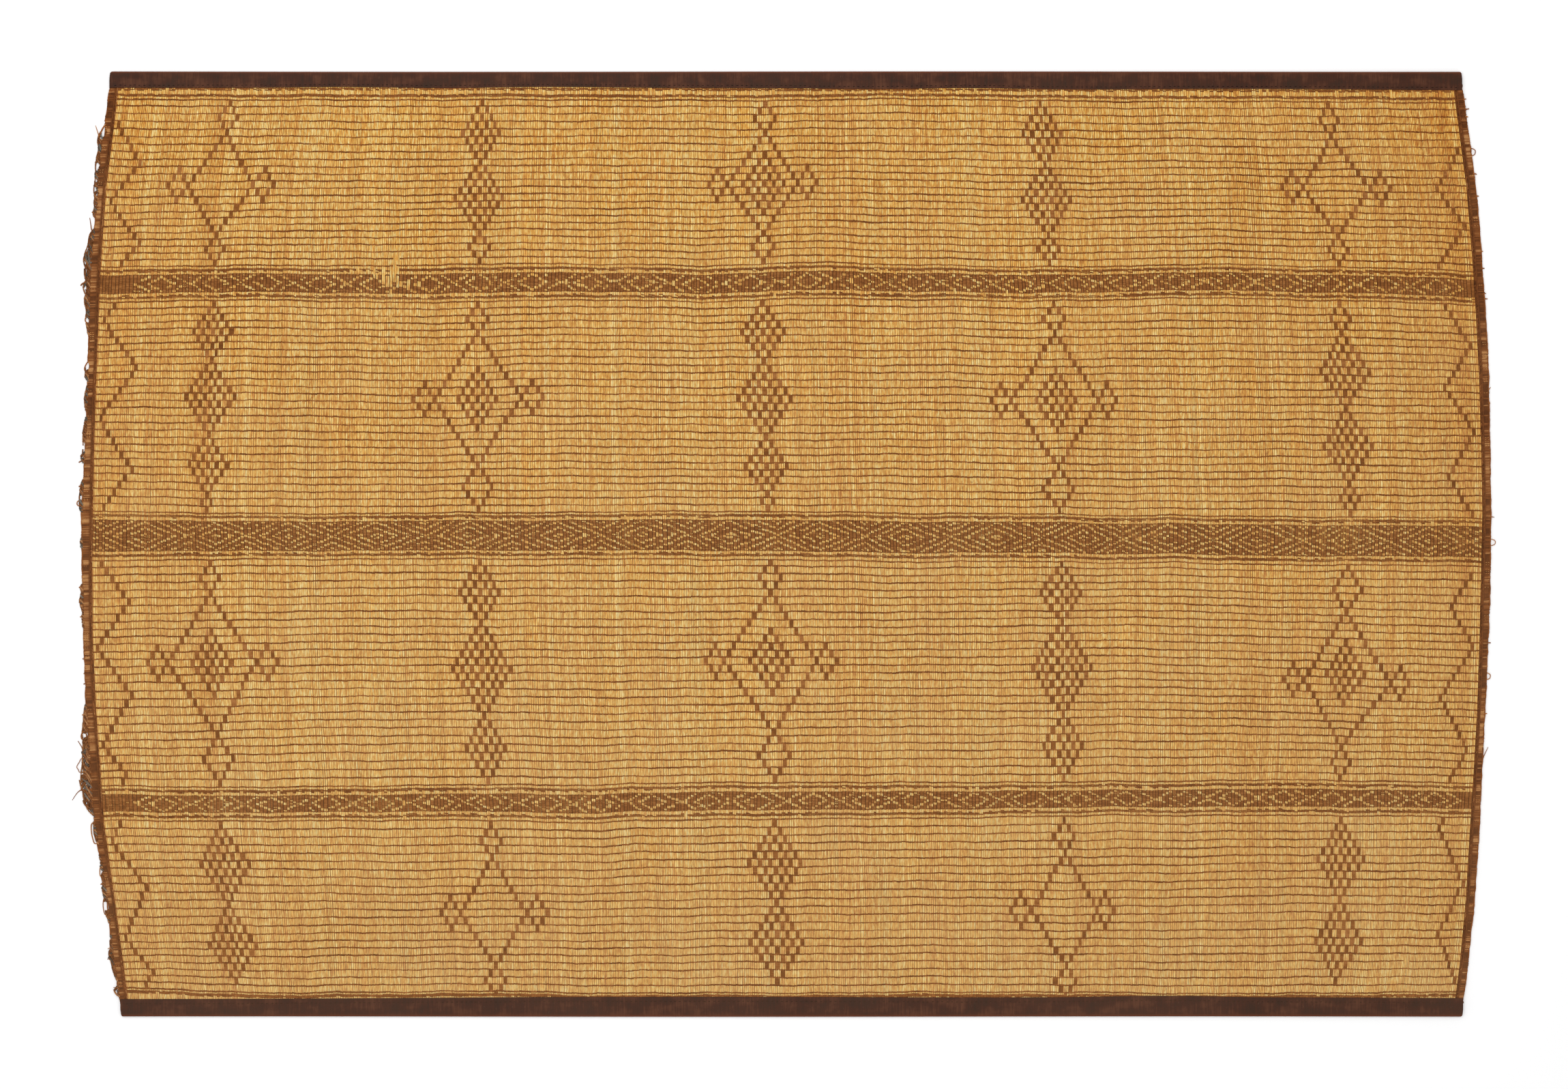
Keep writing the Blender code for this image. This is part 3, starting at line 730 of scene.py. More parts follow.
bands = (  # centres: which repeat of the pattern lies at which column, a column being two reeds
    {"name": "band_upper", "above": 0, "first": 0.253, "last": 0.752, "wefts": 20, "borders": 1,
     "cords": (0.118, 0.886), "pattern": "diamonds", "repeats": 25,
     "centres": ((0, 18), (3, 68), (7, 132.5), (12, 216.6), (15, 266), (18, 315), (22, 376), (24, 408.5))},
    {"name": "band_middle", "above": 1, "first": 0.178, "last": 0.806, "wefts": 40, "borders": 1,
     "cords": (0.079, 0.902), "pattern": "crosses", "repeats": 17,
     "centres": ((0, 2), (1, 28), (2, 46), (4, 99), (8, 206), (12, 312), (16, 416))},
    {"name": "band_lower", "above": 2, "first": 0.264, "last": 0.738, "wefts": 20, "borders": 1,
     "cords": (0.118, 0.877), "pattern": "diamonds", "repeats": 25,
     "centres": ((0, 17.3), (5, 99.5), (10, 182.6), (15, 263.5), (19, 329.5), (22, 376), (24, 408))},
)
bandStitches = {
    "beyond": -0.17, "height": 0.00072, "slant": 0.00035, "fill": 1.42, "seed": 77, "missing": 0.012,
    "tallDots": 0.85, "splitDots": 0.1, "lostDots": 0.04, "dotSeed": 19,
    "innerDiamond": 4, "outerDiamond": 8, "crossEvery": 4, "crossReach": 13,      # in columns
    # groove keys: the sunk dark strips of painted shade between a band's columns
    "grooveWidth": 0.00150, "grooveTop": -0.00022, "grooveSink": 0.00050, "grooveBeyond": 0.6, "grooveOverlap": 0.002,
    "grooveTones": (0.4, 0.25),
    "cordSteps": (-0.5, 0.5, 1.5), "cordGone": (0.03, 0.06, 0.75), "cordPitch": 0.0024,
    "cord": {"width": 0.0024, "height": 0.00055, "slant": 0.0004},
}
endRows = {  # the cords beside the bindings, three threads each, and the share of every thread that is gone
    "height": 0.0005,
    "top": {"offset": 0.0082, "pitch": 0.0016, "width": 0.0023, "gone": (0.09, 0.09, 0.09)},
    "bottom": {"offset": -0.0070, "pitch": 0.0018, "width": 0.0026, "gone": (0.2, 0.02, 0.02)},
    "fringe": {"levels": (0.8803, 0.8806, 0.8800, 0.8788, 0.8782, 0.8762), "pitch": 0.0017, "width": 0.0022,
               "gone": (0.5, 0.32, 0.12)},
}
wornColumns = (  # the old damage at the upper left, where reeds lie bare: column, and the shares of the gap
    (84, 0.157, 0.357), (85, 0.23, 0.33), (87, 0.23, 0.43), (88, 0.257, 0.586), (89, 0.014, 0.571), (89, 0.671, 0.81),
    (90, 0.23, 0.37), (91, 0.257, 0.61), (92, 0.43, 0.586), (94, 0.43, 0.586))
tornCords = {"gone": (89, 91), "thin": (77, 88), "thinShare": 0.4}      # columns of the same damage


def bandLine(band, share):
    upper, lower = rowLines[band["above"]][-1], rowLines[band["above"] + 1][0]
    return upper * (1 - share) + lower * share


def weftShare(band, which, count):
    return band["first"] + (band["last"] - band["first"]) * which / (count - 1)


def bareDots(band):
    # which wefts leave the reeds of a column bare: dots two or three wefts tall, by levels from the middle out
    chance = np.random.default_rng(bandStitches["dotSeed"])
    inner, outer = bandStitches["innerDiamond"], bandStitches["outerDiamond"]
    centres = np.round(np.interp(np.arange(band["repeats"]), *zip(*band["centres"])))
    off = np.abs(pairs[:, None] - centres).min(axis=1)
    bare = np.full((band["wefts"], len(pairs)), False)
    count = band["wefts"] // 2 - band["borders"]
    for k in range(count):
        level = abs(k - (count - 1) // 2)
        if band["pattern"] == "diamonds":
            dots = ((off <= inner) & (level == inner - off)) | ((off >= inner) & (level == outer - off))
        else:
            dots = ((off - level) % bandStitches["crossEvery"] == 0) & (off <= bandStitches["crossReach"])
        dots &= chance.random(len(pairs)) > bandStitches["lostDots"]
        first = band["borders"] + 2 * k
        taller = chance.random(len(pairs))
        bare[first] |= dots
        bare[first + 1] |= dots & (chance.random(len(pairs)) > bandStitches["splitDots"])
        bare[max(first - 1, 1)] |= dots & (taller < bandStitches["tallDots"] / 2)
        bare[min(first + 2, band["wefts"] - 2)] |= dots & (taller > 1 - bandStitches["tallDots"] / 2)
    return bare


def bandWeave(band, chance, pitch):
    # the stitches of a band, weft by weft
    bare, parts = bareDots(band), []
    for w in range(band["wefts"]):
        share = weftShare(band, w, band["wefts"])
        keep = ~bare[w] & (chance.random(len(pairs)) > bandStitches["missing"])
        for column, upper, lower in wornColumns if band["name"] == "band_upper" else ():
            keep[column] &= not upper < share < lower
        parts.append(rowStitches(bandLine(band, share), chance, keep, pitch * bandStitches["fill"],
                                 bandStitches["height"], bandStitches["slant"], bandStitches["beyond"]))
    return parts


def bandGrooveShade(band, chance, pitch):
    # dark strips sunk between the reeds' pairs, in two halves that overlap: painted shade in the grooves between the
    # band's columns
    between = boundaries[::2]
    top = bandLine(band, band["first"])[between] + bandStitches["grooveBeyond"] * pitch
    bottom = bandLine(band, band["last"])[between] - bandStitches["grooveBeyond"] * pitch
    middle, overlap = (top + bottom) / 2, bandStitches["grooveOverlap"]
    parts = []
    for high, low in ((top, middle - overlap), (middle + overlap, bottom)):
        tones = tonesAbout(chance, *bandStitches["grooveTones"], len(between))
        parts.append(stitchesBetween(acrossAt(between, high), high, acrossAt(between, low), low,
                                     bandStitches["grooveWidth"], bandStitches["grooveTop"], tones,
                                     bandStitches["grooveSink"]))
    return parts


def bandCords(band, chance):
    # two cords of three threads, above the band and below it
    parts = []
    for share, outer in zip(band["cords"], (1, -1)):
        for k, gone in zip(bandStitches["cordSteps"], bandStitches["cordGone"]):
            line = bandLine(band, share) - outer * k * bandStitches["cordPitch"]
            keep = chance.random(len(pairs)) > gone
            if band["name"] == "band_upper" and outer > 0:
                first, last = tornCords["gone"]
                keep &= (pairs < first) | (pairs > last)
                first, last = tornCords["thin"]
                keep &= (pairs < first) | (pairs > last) | (chance.random(len(pairs)) > tornCords["thinShare"])
            parts.append(rowStitches(line, chance, keep, **bandStitches["cord"]))
    return parts


def endCords(chance):
    # threads beside the two bindings, and the ragged fringe of stitches next to the top one
    fringe = endRows["fringe"]
    levels = np.interp(boundaries, np.linspace(0, reedField["reeds"], len(fringe["levels"])), fringe["levels"])
    lines = ((rowLines[0][0] + endRows["top"]["offset"], endRows["top"]),
             (rowLines[-1][-1] + endRows["bottom"]["offset"], endRows["bottom"]), (levels, fringe))
    parts = []
    for k in range(3):
        for line, row in lines:
            keep = chance.random(len(pairs)) > row["gone"][k]
            parts.append(rowStitches(line + (k - 1) * row["pitch"], chance, keep, row["width"], endRows["height"]))
    return parts


def makeBands():
    chance = np.random.default_rng(bandStitches["seed"])
    cords, grooves = [], []
    for band in bands:
        length = np.mean(bandLine(band, 0) - bandLine(band, 1)) * (band["last"] - band["first"])
        pitch = length / (band["wefts"] - 1)
        joinStitches(band["name"], bandWeave(band, chance, pitch), bandThong)
        grooves += bandGrooveShade(band, chance, pitch)
        cords += bandCords(band, chance)
    cords += endCords(chance)
    joinStitches("cords", cords, cordThong)
    joinStitches("band_groove_shade", grooves, grooveShadeThong)


makeBands()


# The motifs: little blocks of fine threads over two reeds, a step being three reeds, a block one gap tall.
# Each is charted from its axis: the gap where it stands, and how many steps out its blocks lie.

def outline(top, size):
    # an open diamond, size steps out at its widest
    return [(top + size + row, size - abs(row)) for row in range(-size, size + 1)]


def filled(top, size):
    # a diamond with every second step inside it filled as well
    return [(top + size + row, reach) for row in range(-size, size + 1)
            for reach in range(size - abs(row), -1, -2)]


def sidePair(middle, reach, size=2):
    # the small diamonds at the left and right tips of a big one
    return [(middle + row, reach + sign * (size - abs(row))) for row in range(-size, size + 1) for sign in (1, -1)]


bigPanel1 = outline(0, 2) + outline(4, 7) + sidePair(11, 9) + outline(18, 2)
filledPanel1 = bigPanel1 + filled(7, 4)
openTallPanel1 = filled(0, 4) + filled(8, 5) + outline(18, 2)
tallPanel1 = filled(0, 4) + filled(8, 5) + filled(18, 2)
tallPanel2 = filled(0, 4) + filled(8, 5) + filled(18, 4) + [(27, 1), (28, 0)]
smallPanel2 = outline(0, 2) + filled(4, 5) + filled(14, 5) + filled(24, 2)
bigPanel2 = outline(0, 2) + outline(4, 9) + sidePair(13, 11) + filled(9, 4) + outline(22, 3)
bigPanel3 = outline(0, 3) + outline(6, 9) + sidePair(15, 11) + filled(10, 4) + outline(24, 2)
tallPanel3 = filled(0, 4) + filled(8, 6) + filled(20, 4)
tallPanel4 = filled(0, 5) + filled(10, 5)

motifs = (  # by panel, from left to right
    (bigPanel1, openTallPanel1, filledPanel1, tallPanel1, bigPanel1),
    (tallPanel2, bigPanel2, tallPanel2, bigPanel2, smallPanel2),
    (bigPanel2, tallPanel3, bigPanel2, tallPanel3, bigPanel3),
    (tallPanel4, bigPanel1, tallPanel4, bigPanel1, tallPanel4),
)
# The zigzags along the two sides: turning points as gap and steps from the seam.
zigzags = {
    "left": (((3, 1), (8, 6.5), (13, 1.4), (19, 7.3), (22, 4.3)),
             ((0, 3.3), (2, 1.3), (9, 7.8), (16, 1.2), (23, 7.5), (28, 2.4)),
             ((0, 1.9), (5, 6.9), (11, 1), (17, 6.9), (23, 1.1), (27, 5.1), (28, 4.3)),
             ((0, 3.3), (2, 1.2), (8, 6.7), (14, 1.3), (19, 5.9), (21, 4.2))),
    "right": (((6, 1), (11, 6), (16, 1), (22, 7)),
              ((0, 6), (5, 1.4), (11, 6.9), (17, 1.3), (23, 6.7), (28, 2)),
              ((1, 2), (5, 5.8), (10, 1.2), (17, 7.7), (24, 1.5), (28, 4.7)),
              ((0, 5.6), (1, 6.4), (8, 0.8), (14, 5.3), (20, 0.6))),
}
motifBlocks = {
    "threads": 7, "height": 0.0006, "slant": 0.00045, "margin": 0.0011, "overlap": 0.26, "fill": 1.45, "seed": 91,
    "step": 3, "lastGap": 0.008, "tone": 0.5, "zigzagTone": 0.35, "tones": 0.3, "threadTones": 0.12, "darkTone": -0.3,
    "darkGaps": {"left": ((1, 15), (1, 16), (2, 9)),     # nearly black blocks: panel and gap
                 "right": ((1, 21), (1, 23), (1, 24), (2, 2), (2, 3), (2, 6), (2, 20), (2, 21))},
}


def gapLine(which, gap):
    # the two rows a gap lies between; panel 4's last gap runs on to the binding
    lines = rowLines[which]
    upper = lines[gap]
    return upper, lines[gap + 1] if gap + 1 < len(lines) else upper - motifBlocks["lastGap"]


def blockPart(which, gap, reed, overlap, chance, tone):
    # a block of threads over the two reeds about one place
    upper, lower = gapLine(which, gap)
    reed, reeds, threads = float(reed), reedField["reeds"], motifBlocks["threads"]
    left, right = int(np.clip(round(reed - 1), 0, reeds - 2)), int(np.clip(round(reed + 1), 2, reeds))
    share = (np.arange(threads) + 0.5) / threads
    ends = []
    for side, slant in ((left, motifBlocks["slant"]), (right, -motifBlocks["slant"])):
        top, bottom = upper[side] - motifBlocks["margin"], lower[side] + motifBlocks["margin"]
        ends.append(top + (bottom - top) * share + slant)
    pitch = abs(ends[0][0] - ends[0][-1]) / (threads - 1)
    ax = acrossAt(np.full(threads, max(left - overlap, 0)), ends[0])
    bx = acrossAt(np.full(threads, min(right + overlap, reeds)), ends[1])
    tones = tonesAbout(chance, tone, motifBlocks["threadTones"], threads)
    return stitchesBetween(ax, ends[0], bx, ends[1], pitch * motifBlocks["fill"], motifBlocks["height"], tones)


def makeMotifs():
    chance = np.random.default_rng(motifBlocks["seed"])
    parts = []
    for which, row in enumerate(motifs):
        lastGap = panels[which]["rows"] - (1 if which == len(panels) - 1 else 2)
        for axis, chart in zip(reedField["axisReeds"][1:-1], row):
            for gap, reach in sorted(set(chart)):
                if gap > lastGap:
                    continue
                for side in (1, -1) if reach else (1,):
                    tone = tonesAbout(chance, motifBlocks["tone"], motifBlocks["tones"])
                    reed = axis + motifBlocks["step"] * side * reach
                    parts.append(blockPart(which, gap, reed, motifBlocks["overlap"], chance, tone))
        for side, turns in zigzags.items():
            places, steps = zip(*turns[which])
            for gap in range(places[0], places[-1] + 1):
                out = motifBlocks["step"] * np.interp(gap, places, steps)
                reed = out if side == "left" else reedField["reeds"] - out
                tone = tonesAbout(chance, motifBlocks["zigzagTone"], motifBlocks["tones"])
                tone = motifBlocks["darkTone"] if (which, gap) in motifBlocks["darkGaps"][side] else tone
                parts.append(blockPart(which, gap, reed, 0.0, chance, tone))
    joinStitches("motifs", parts, motifThong)


makeMotifs()


# Under the mat the thongs run on as low ribs.

underRibs = {"radius": 0.0011, "flat": 0.38, "height": 0.00046, "steps": 26, "tone": 0.3}


def makeRibs():
    lines = [line for rows in rowLines for line in rows]
    for band in bands:
        lines += [bandLine(band, share) for share in band["cords"]]
        count = band["wefts"] // 2
        lines += [bandLine(band, weftShare(band, k, count)) for k in range(count)]
    reed = np.linspace(1, reedField["reeds"] - 1, underRibs["steps"])
    strands = []
    for line in lines:
        y = np.interp(reed, boundaries, line)
        strands.append(strandOf(acrossAt(reed, y), y, underRibs["height"] + liftAt(y), underRibs["radius"],
                                underRibs["tone"], underRibs["flat"]))
    finishPiece(joinTubes("under_ribs", strands, sides=3), rowThong)


makeRibs()


# The wrapped sides: two dark cords beside the reeds, then thongs wound round the edge, thread beside thread.

sideWraps = {
    "pitch": 0.00195, "width": 0.0024, "cordWidth": 0.0046, "thickness": 0.0041, "end": 0.890, "seed": 17,
    "jitter": 0.0002, "uneven": 0.0012, "waver": (0.0005, 200), "slant": 0.0003, "bulge": (1.04, 1.28),
    # outward: each turn painted lighter outwards, away from its painted shade by the reeds
    "patches": (0.2, 70), "runs": (0.26, 340), "turns": 0.22, "paleShare": 0.06, "paler": 0.4, "outward": 0.05,
    # ribs: dark lines painted along each turn as shade between ribs that are not modelled
    "ribs": {"at": 0.38, "half": 0.1, "edge": 0.55}, "turnThickness": (0.82, 1.0), "toneEnd": 0.9,
    # shadow: painted shade on the inner part of each turn, towards the reeds
    "shadow": {"left": 1.05, "right": 1.2, "from": 0.38, "run": 0.54},      # towards the reeds
    "tones": {  # at even heights from the bottom up
        "left": (0.23, 0.24, 0.36, 0.36, 0.32, 0.43, 0.46), "right": (0.36, 0.35, 0.36, 0.33, 0.29, 0.30, 0.30)},
    "notches": {  # where the winding has drawn in, leaving the outer strand free: y, depth, half length
        "left": ((0.797, 0.0075, 0.016), (0.735, 0.0040, 0.014), (0.698, 0.0030, 0.010), (0.680, 0.0032, 0.012),
                 (0.655, 0.0030, 0.010), (0.4325, 0.0020, 0.006), (0.345, 0.0036, 0.012), (0.187, 0.0028, 0.005),
                 (-0.561, 0.0036, 0.016), (-0.634, 0.0026, 0.010), (-0.700, 0.0040, 0.016)),
        "right": ((0.759, 0.0020, 0.006), (-0.256, 0.0020, 0.005), (0.004, 0.0022, 0.006)),
    },
}


def seamOut(side, sign, y, out):
    # x at a distance outwards from the seam
    return sideAt(side + "Seam", y) + sign * out


def notchAt(side, y):
    depth = np.zeros_like(y)
    for where, deep, half in sideWraps["notches"][side]:
        t = np.clip(1 - np.abs(y - where) / half, 0, 1)
        depth = np.maximum(depth, deep * t * t * (3 - 2 * t) ** 0.5)
    return depth


def modelWrap():
    # an open ring of eight sides round the edge, a little fuller in the middle
    wrap = cutRod(8, 1, (math.pi / 2, math.pi / 8, 0), 1, caps="NOTHING")
    pick(wrap, "VERT", lambda ends: abs(ends[0].y) < 0.1)
    bpy.ops.transform.resize(value=(sideWraps["bulge"][0], 1, sideWraps["bulge"][1]))
    faceOutwards()
    return takeForm(wrap)


def makeWraps():
    form = modelWrap()
    chance = np.random.default_rng(sideWraps["seed"])
    sideways, along, upwards = form["points"].T
    for side, sign in sideSigns:
        y = np.arange(-sideWraps["end"], sideWraps["end"], sideWraps["pitch"])
        count = len(y)
        y = y + chance.normal(0, sideWraps["jitter"], count)
        inner = seamOut(side, sign, y, sideWraps["cordWidth"])
        outer = sideAt(side + "Edge", y) - sign * (notchAt(side, y) + chance.uniform(0, sideWraps["uneven"], count))
        outer = outer + slowDrift(chance, *sideWraps["waver"], y)
        centre, half = (inner + outer) / 2, np.abs(outer - inner) / 2
        slant = chance.normal(sideWraps["slant"], sideWraps["slant"], count)
        rest = sideWraps["thickness"] / 2
        thick = rest * chance.uniform(*sideWraps["turnThickness"], count) / sideWraps["bulge"][1]
        places = np.stack((centre[:, None] + sideways[None] * half[:, None],
                           y[:, None] + along[None] * sideWraps["width"] + sideways[None] * slant[:, None],
                           liftAt(y)[:, None] + rest + upwards[None] * thick[:, None]), axis=2)
        patches = slowDrift(chance, *sideWraps["patches"], y) + slowDrift(chance, *sideWraps["runs"], y)
        tones, toneEnd = sideWraps["tones"][side], sideWraps["toneEnd"]
        mean = np.interp(y, np.linspace(-toneEnd, toneEnd, len(tones)), tones)
        tone = chance.normal(mean, sideWraps["turns"]) + patches
        tone = np.clip(tone + sideWraps["paler"] * (chance.random(count) < sideWraps["paleShare"]), 0, 1)
        # edge: painted shade between the turns, along the ribs and on each turn's inner part
        outward, ribs, shadow = sign * sideways, sideWraps["ribs"], sideWraps["shadow"]
        ribShade = ribs["edge"] * ((np.abs(np.abs(sideways) - ribs["at"]) < ribs["half"]) & (upwards > 0))
        shaded = shadow[side] * np.clip((-outward - shadow["from"]) / shadow["run"], 0, 1)
        edge = np.maximum(np.maximum(np.clip(np.abs(along) * 2, 0, 1), ribShade), shaded)
        obj = joinCopies("wraps_" + side, form, places, tone=tone[:, None] + sideWraps["outward"] * outward, edge=edge)
        finishPiece(obj, sideThong, ("selvedge_" + side,))


# Pale pairs of dots where the reeds inside show between the turns.

sideGlints = {"count": 34, "end": 0.86, "most": 3, "pitch": 0.0041, "shares": (0.36, 0.66), "spread": 0.03,
              "length": 0.0028, "lengths": (0.6, 1.1), "width": 0.0012, "height": 0.0002, "jitter": 0.0003,
              "tones": (0.3, 0.8), "seed": 18}


def makeGlints():
    chance = np.random.default_rng(sideGlints["seed"])
    height = sideWraps["thickness"] - reedField["crown"] + sideGlints["height"]
    parts = []
    for side, sign in sideSigns:
        y = np.repeat(chance.uniform(-sideGlints["end"], sideGlints["end"], sideGlints["count"]), 2)
        rows = chance.integers(1, sideGlints["most"] + 1, sideGlints["count"]).repeat(2)
        for row in range(sideGlints["most"]):
            level = y[rows > row] - row * sideGlints["pitch"]
            count = len(level)
            inner, outer = seamOut(side, sign, level, sideWraps["cordWidth"]), sideAt(side + "Edge", level)
            share = np.tile(sideGlints["shares"], count // 2) + chance.normal(0, sideGlints["spread"], count)
            x = inner + (outer - inner) * share
            half = sideGlints["length"] / 2 * chance.uniform(*sideGlints["lengths"], count)
            tones = chance.uniform(*sideGlints["tones"], count)
            tilted = level + chance.normal(0, sideGlints["jitter"], count)
            parts.append(stitchesBetween(x - half, level, x + half, tilted, sideGlints["width"], height, tones, 0.0))
    joinStitches("side_glints", parts, glintStraw)


makeWraps()
makeGlints()


# The two twisted cords between the winding and the reeds, and the core strands inside cords and winding.

sideCords = {"offsets": (0.0012, 0.0034), "pitch": 0.0030, "width": 0.0021, "seed": 3, "end": 0.889, "jitter": 0.0002,
             "half": 0.0021, "twist": 0.0004, "height": 0.0004, "sink": 0.0012, "darkest": -0.15,
             "tones": {"left": (0.42, 0.14), "right": (0.16, 0.02)}, "spread": 0.16, "patches": (0.2, 80)}
sideCores = {"steps": 90, "tone": 0.1, "inset": 0.0016,
             "cords": {"offsets": (0.0010, 0.0029, 0.0048), "radius": 0.0014, "height": 0.0017},
             "winding": {"shares": (0.12, 0.3, 0.5, 0.7, 0.88), "radius": 0.00135, "height": 0.00205}}


def makeSideCords():
    chance = np.random.default_rng(sideCords["seed"])
    parts, cores = [], []
    inCords, inWinding = sideCores["cords"], sideCores["winding"]
    for side, sign in sideSigns:
        for offset, tone in zip(sideCords["offsets"], sideCords["tones"][side]):
            y = np.arange(-sideCords["end"], sideCords["end"], sideCords["pitch"])
            y = y + chance.normal(0, sideCords["jitter"], len(y))
            ay, by = y - sideCords["half"], y + sideCords["half"]
            ax = seamOut(side, sign, ay, offset - sideCords["twist"])
            bx = seamOut(side, sign, by, offset + sideCords["twist"])
            slow = slowDrift(chance, *sideCords["patches"], y)
            tones = np.clip(chance.normal(tone, sideCords["spread"], len(y)) + slow, sideCords["darkest"], 1)
            parts.append(stitchesBetween(ax, ay, bx, by, sideCords["width"], sideCords["height"], tones,
                                         sideCords["sink"]))
        y = np.linspace(-sideCords["end"], sideCords["end"], sideCores["steps"])
        for offset in inCords["offsets"]:
            cores.append(strandOf(seamOut(side, sign, y, offset), y, liftAt(y) + inCords["height"], inCords["radius"],
                                  sideCores["tone"]))
        inner = seamOut(side, sign, y, sideWraps["cordWidth"])
        outer = sideAt(side + "Edge", y) - sign * sideCores["inset"]
        for share in inWinding["shares"]:
            x = inner + (outer - inner) * share - sign * notchAt(side, y) * share
            cores.append(strandOf(x, y, liftAt(y) + inWinding["height"], inWinding["radius"], sideCores["tone"]))
    joinStitches("side_cords", parts, sideThong)
    finishPiece(joinTubes("side_cores", cores, sides=5), sideThong)


makeSideCords()


# Thong ends along the outer edges: a running strand, loops, nubs and loose ends, all lying on the floor.
# A row is an end or a loop, its first and last radius, and its places in the mat's x and y, in millimetres.

edgeThongs = {
    "seed": 8, "radius": 0.0011, "growth": 1.25, "height": 0.0021, "heights": (0.0022, 0.0013), "clear": 0.0001,
    "rootDepth": {"end": 0.003, "loop": 0.004}, "tones": (0.3, 0.75), "stepsPerPlace": 4,
    "running": {"left": ((-0.872, 0.336), (0.354, 0.640), (0.818, 0.874)), "right": ((-0.872, 0.874),)},
    "run": {"pitch": 0.0042, "inset": 0.0012, "wander": (0.0006, 150), "rise": 0.0003, "radii": (0.7, 1.4),
            "tone": 0.42},
    "left": (
        ("end", 1.2, 0.4, (-1326, 783), (-1329, 790), (-1333, 802), (-1336, 811)),
        ("end", 1.2, 1.2, (-1315, 814), (-1321, 806), (-1325, 798), (-1328, 790), (-1328, 784), (-1323, 779)),
        ("end", 1.4, 0.9, (-1335, 640), (-1343, 643)),
        ("end", 1.2, 0.5, (-1338, 607), (-1343, 608), (-1345, 619), (-1347, 632)),
        ("end", 1.3, 0.9, (-1357, 506), (-1363, 503), (-1364, 500)),
        ("end", 0.9, 0.9, (-1349, 444), (-1355, 438), (-1355, 431), (-1349, 427)),
        ("end", 0.9, 1.0, (-1348, 356), (-1354, 348), (-1357, 340), (-1355, 335), (-1348, 336)),
        ("end", 1.4, 1.0, (-1350, 328), (-1357, 324)),
        ("end", 1.3, 0.8, (-1362, 161), (-1367, 159), (-1368, 158)),
        ("end", 1.2, 0.9, (-1363, 113), (-1367, 112), (-1368, 111)),
        ("loop", 0.8, 0.8, (-1361, 85), (-1365, 85), (-1371, 82), (-1371, 76), (-1366, 74), (-1361, 77)),
        ("end", 1.4, 0.9, (-1363, -83), (-1368, -84)),
        ("end", 1.4, 0.8, (-1363, -112), (-1368, -113)),
        ("end", 1.2, 0.8, (-1361, -140), (-1366, -141)),
        ("end", 1.2, 0.8, (-1356, -223), (-1361, -222)),
        ("end", 1.2, 0.7, (-1355, -250), (-1359, -251)),
        ("end", 1.2, 0.8, (-1355, -270), (-1359, -271)),
        ("end", 1.3, 0.8, (-1357, -330), (-1362, -331)),
        ("loop", 0.8, 0.8, (-1357, -362), (-1363, -368), (-1363, -376), (-1358, -380)),
        ("end", 1.1, 0.5, (-1358, -402), (-1363, -392), (-1370, -381)),
        ("loop", 0.6, 0.6, (-1362, -415), (-1367, -422), (-1372, -431), (-1369, -437), (-1365, -442)),
        ("end", 1.0, 0.4, (-1361, -476), (-1367, -478), (-1373, -484), (-1381, -496)),
        ("loop", 1.0, 0.7, (-1340, -539), (-1344, -545), (-1343, -562), (-1339, -577), (-1336, -580)),
        ("loop", 0.8, 0.7, (-1324, -623), (-1327, -628), (-1327, -641), (-1323, -645)),
        ("end", 1.2, 0.9, (-1321, -657), (-1326, -659)),
        ("end", 1.0, 0.5, (-1314, -678), (-1320, -671), (-1325, -666)),
        ("loop", 0.7, 0.7, (-1314, -680), (-1320, -688), (-1321, -702), (-1318, -716), (-1313, -718)),
        ("end", 1.1, 0.5, (-1305, -780), (-1312, -784)),
        ("end", 1.1, 0.4, (-1306, -803), (-1313, -804)),
        ("end", 1.1, 0.4, (-1293, -858), (-1301, -859)),
    ),
    "right": (
        ("end", 1.2, 0.8, (1315, 861), (1319, 862)),
        ("end", 1.2, 0.8, (1320, 842), (1325, 843)),
        ("end", 1.2, 0.9, (1320, 828), (1323, 827)),
        ("loop", 0.7, 0.7, (1331, 766), (1337, 762), (1336, 755), (1331, 752)),
        ("end", 1.2, 0.8, (1337, 717), (1340, 716)),
        ("end", 1.2, 0.8, (1340, 674), (1344, 674)),
        ("end", 1.2, 0.8, (1348, 567), (1352, 567)),
        ("end", 1.2, 0.8, (1351, 534), (1355, 534)),
        ("end", 1.2, 0.7, (1354, 486), (1358, 485)),
        ("end", 1.2, 0.7, (1357, 475), (1361, 475)),
        ("end", 1.1, 0.4, (1361, 295), (1364, 300), (1367, 304)),
        ("end", 1.2, 0.8, (1361, 273), (1366, 273)),
        ("end", 1.1, 0.5, (1367, 53), (1374, 52)),
        ("loop", 0.6, 0.6, (1367, 10), (1375, 7), (1375, 0), (1368, -3)),
        ("end", 1.2, 0.8, (1362, -191), (1367, -191)),
        ("loop", 0.7, 0.7, (1360, -249), (1366, -253), (1365, -260), (1359, -262)),
        ("end", 1.2, 0.7, (1355, -328), (1360, -328)),
        ("end", 1.1, 0.4, (1349, -425), (1354, -410), (1362, -393)),
    ),
}


def smoothPath(points, steps):
    at = np.linspace(0, len(points) - 1, steps)
    return np.stack([curveAt(np.arange(len(points)), column, at) for column in points.T], axis=1)


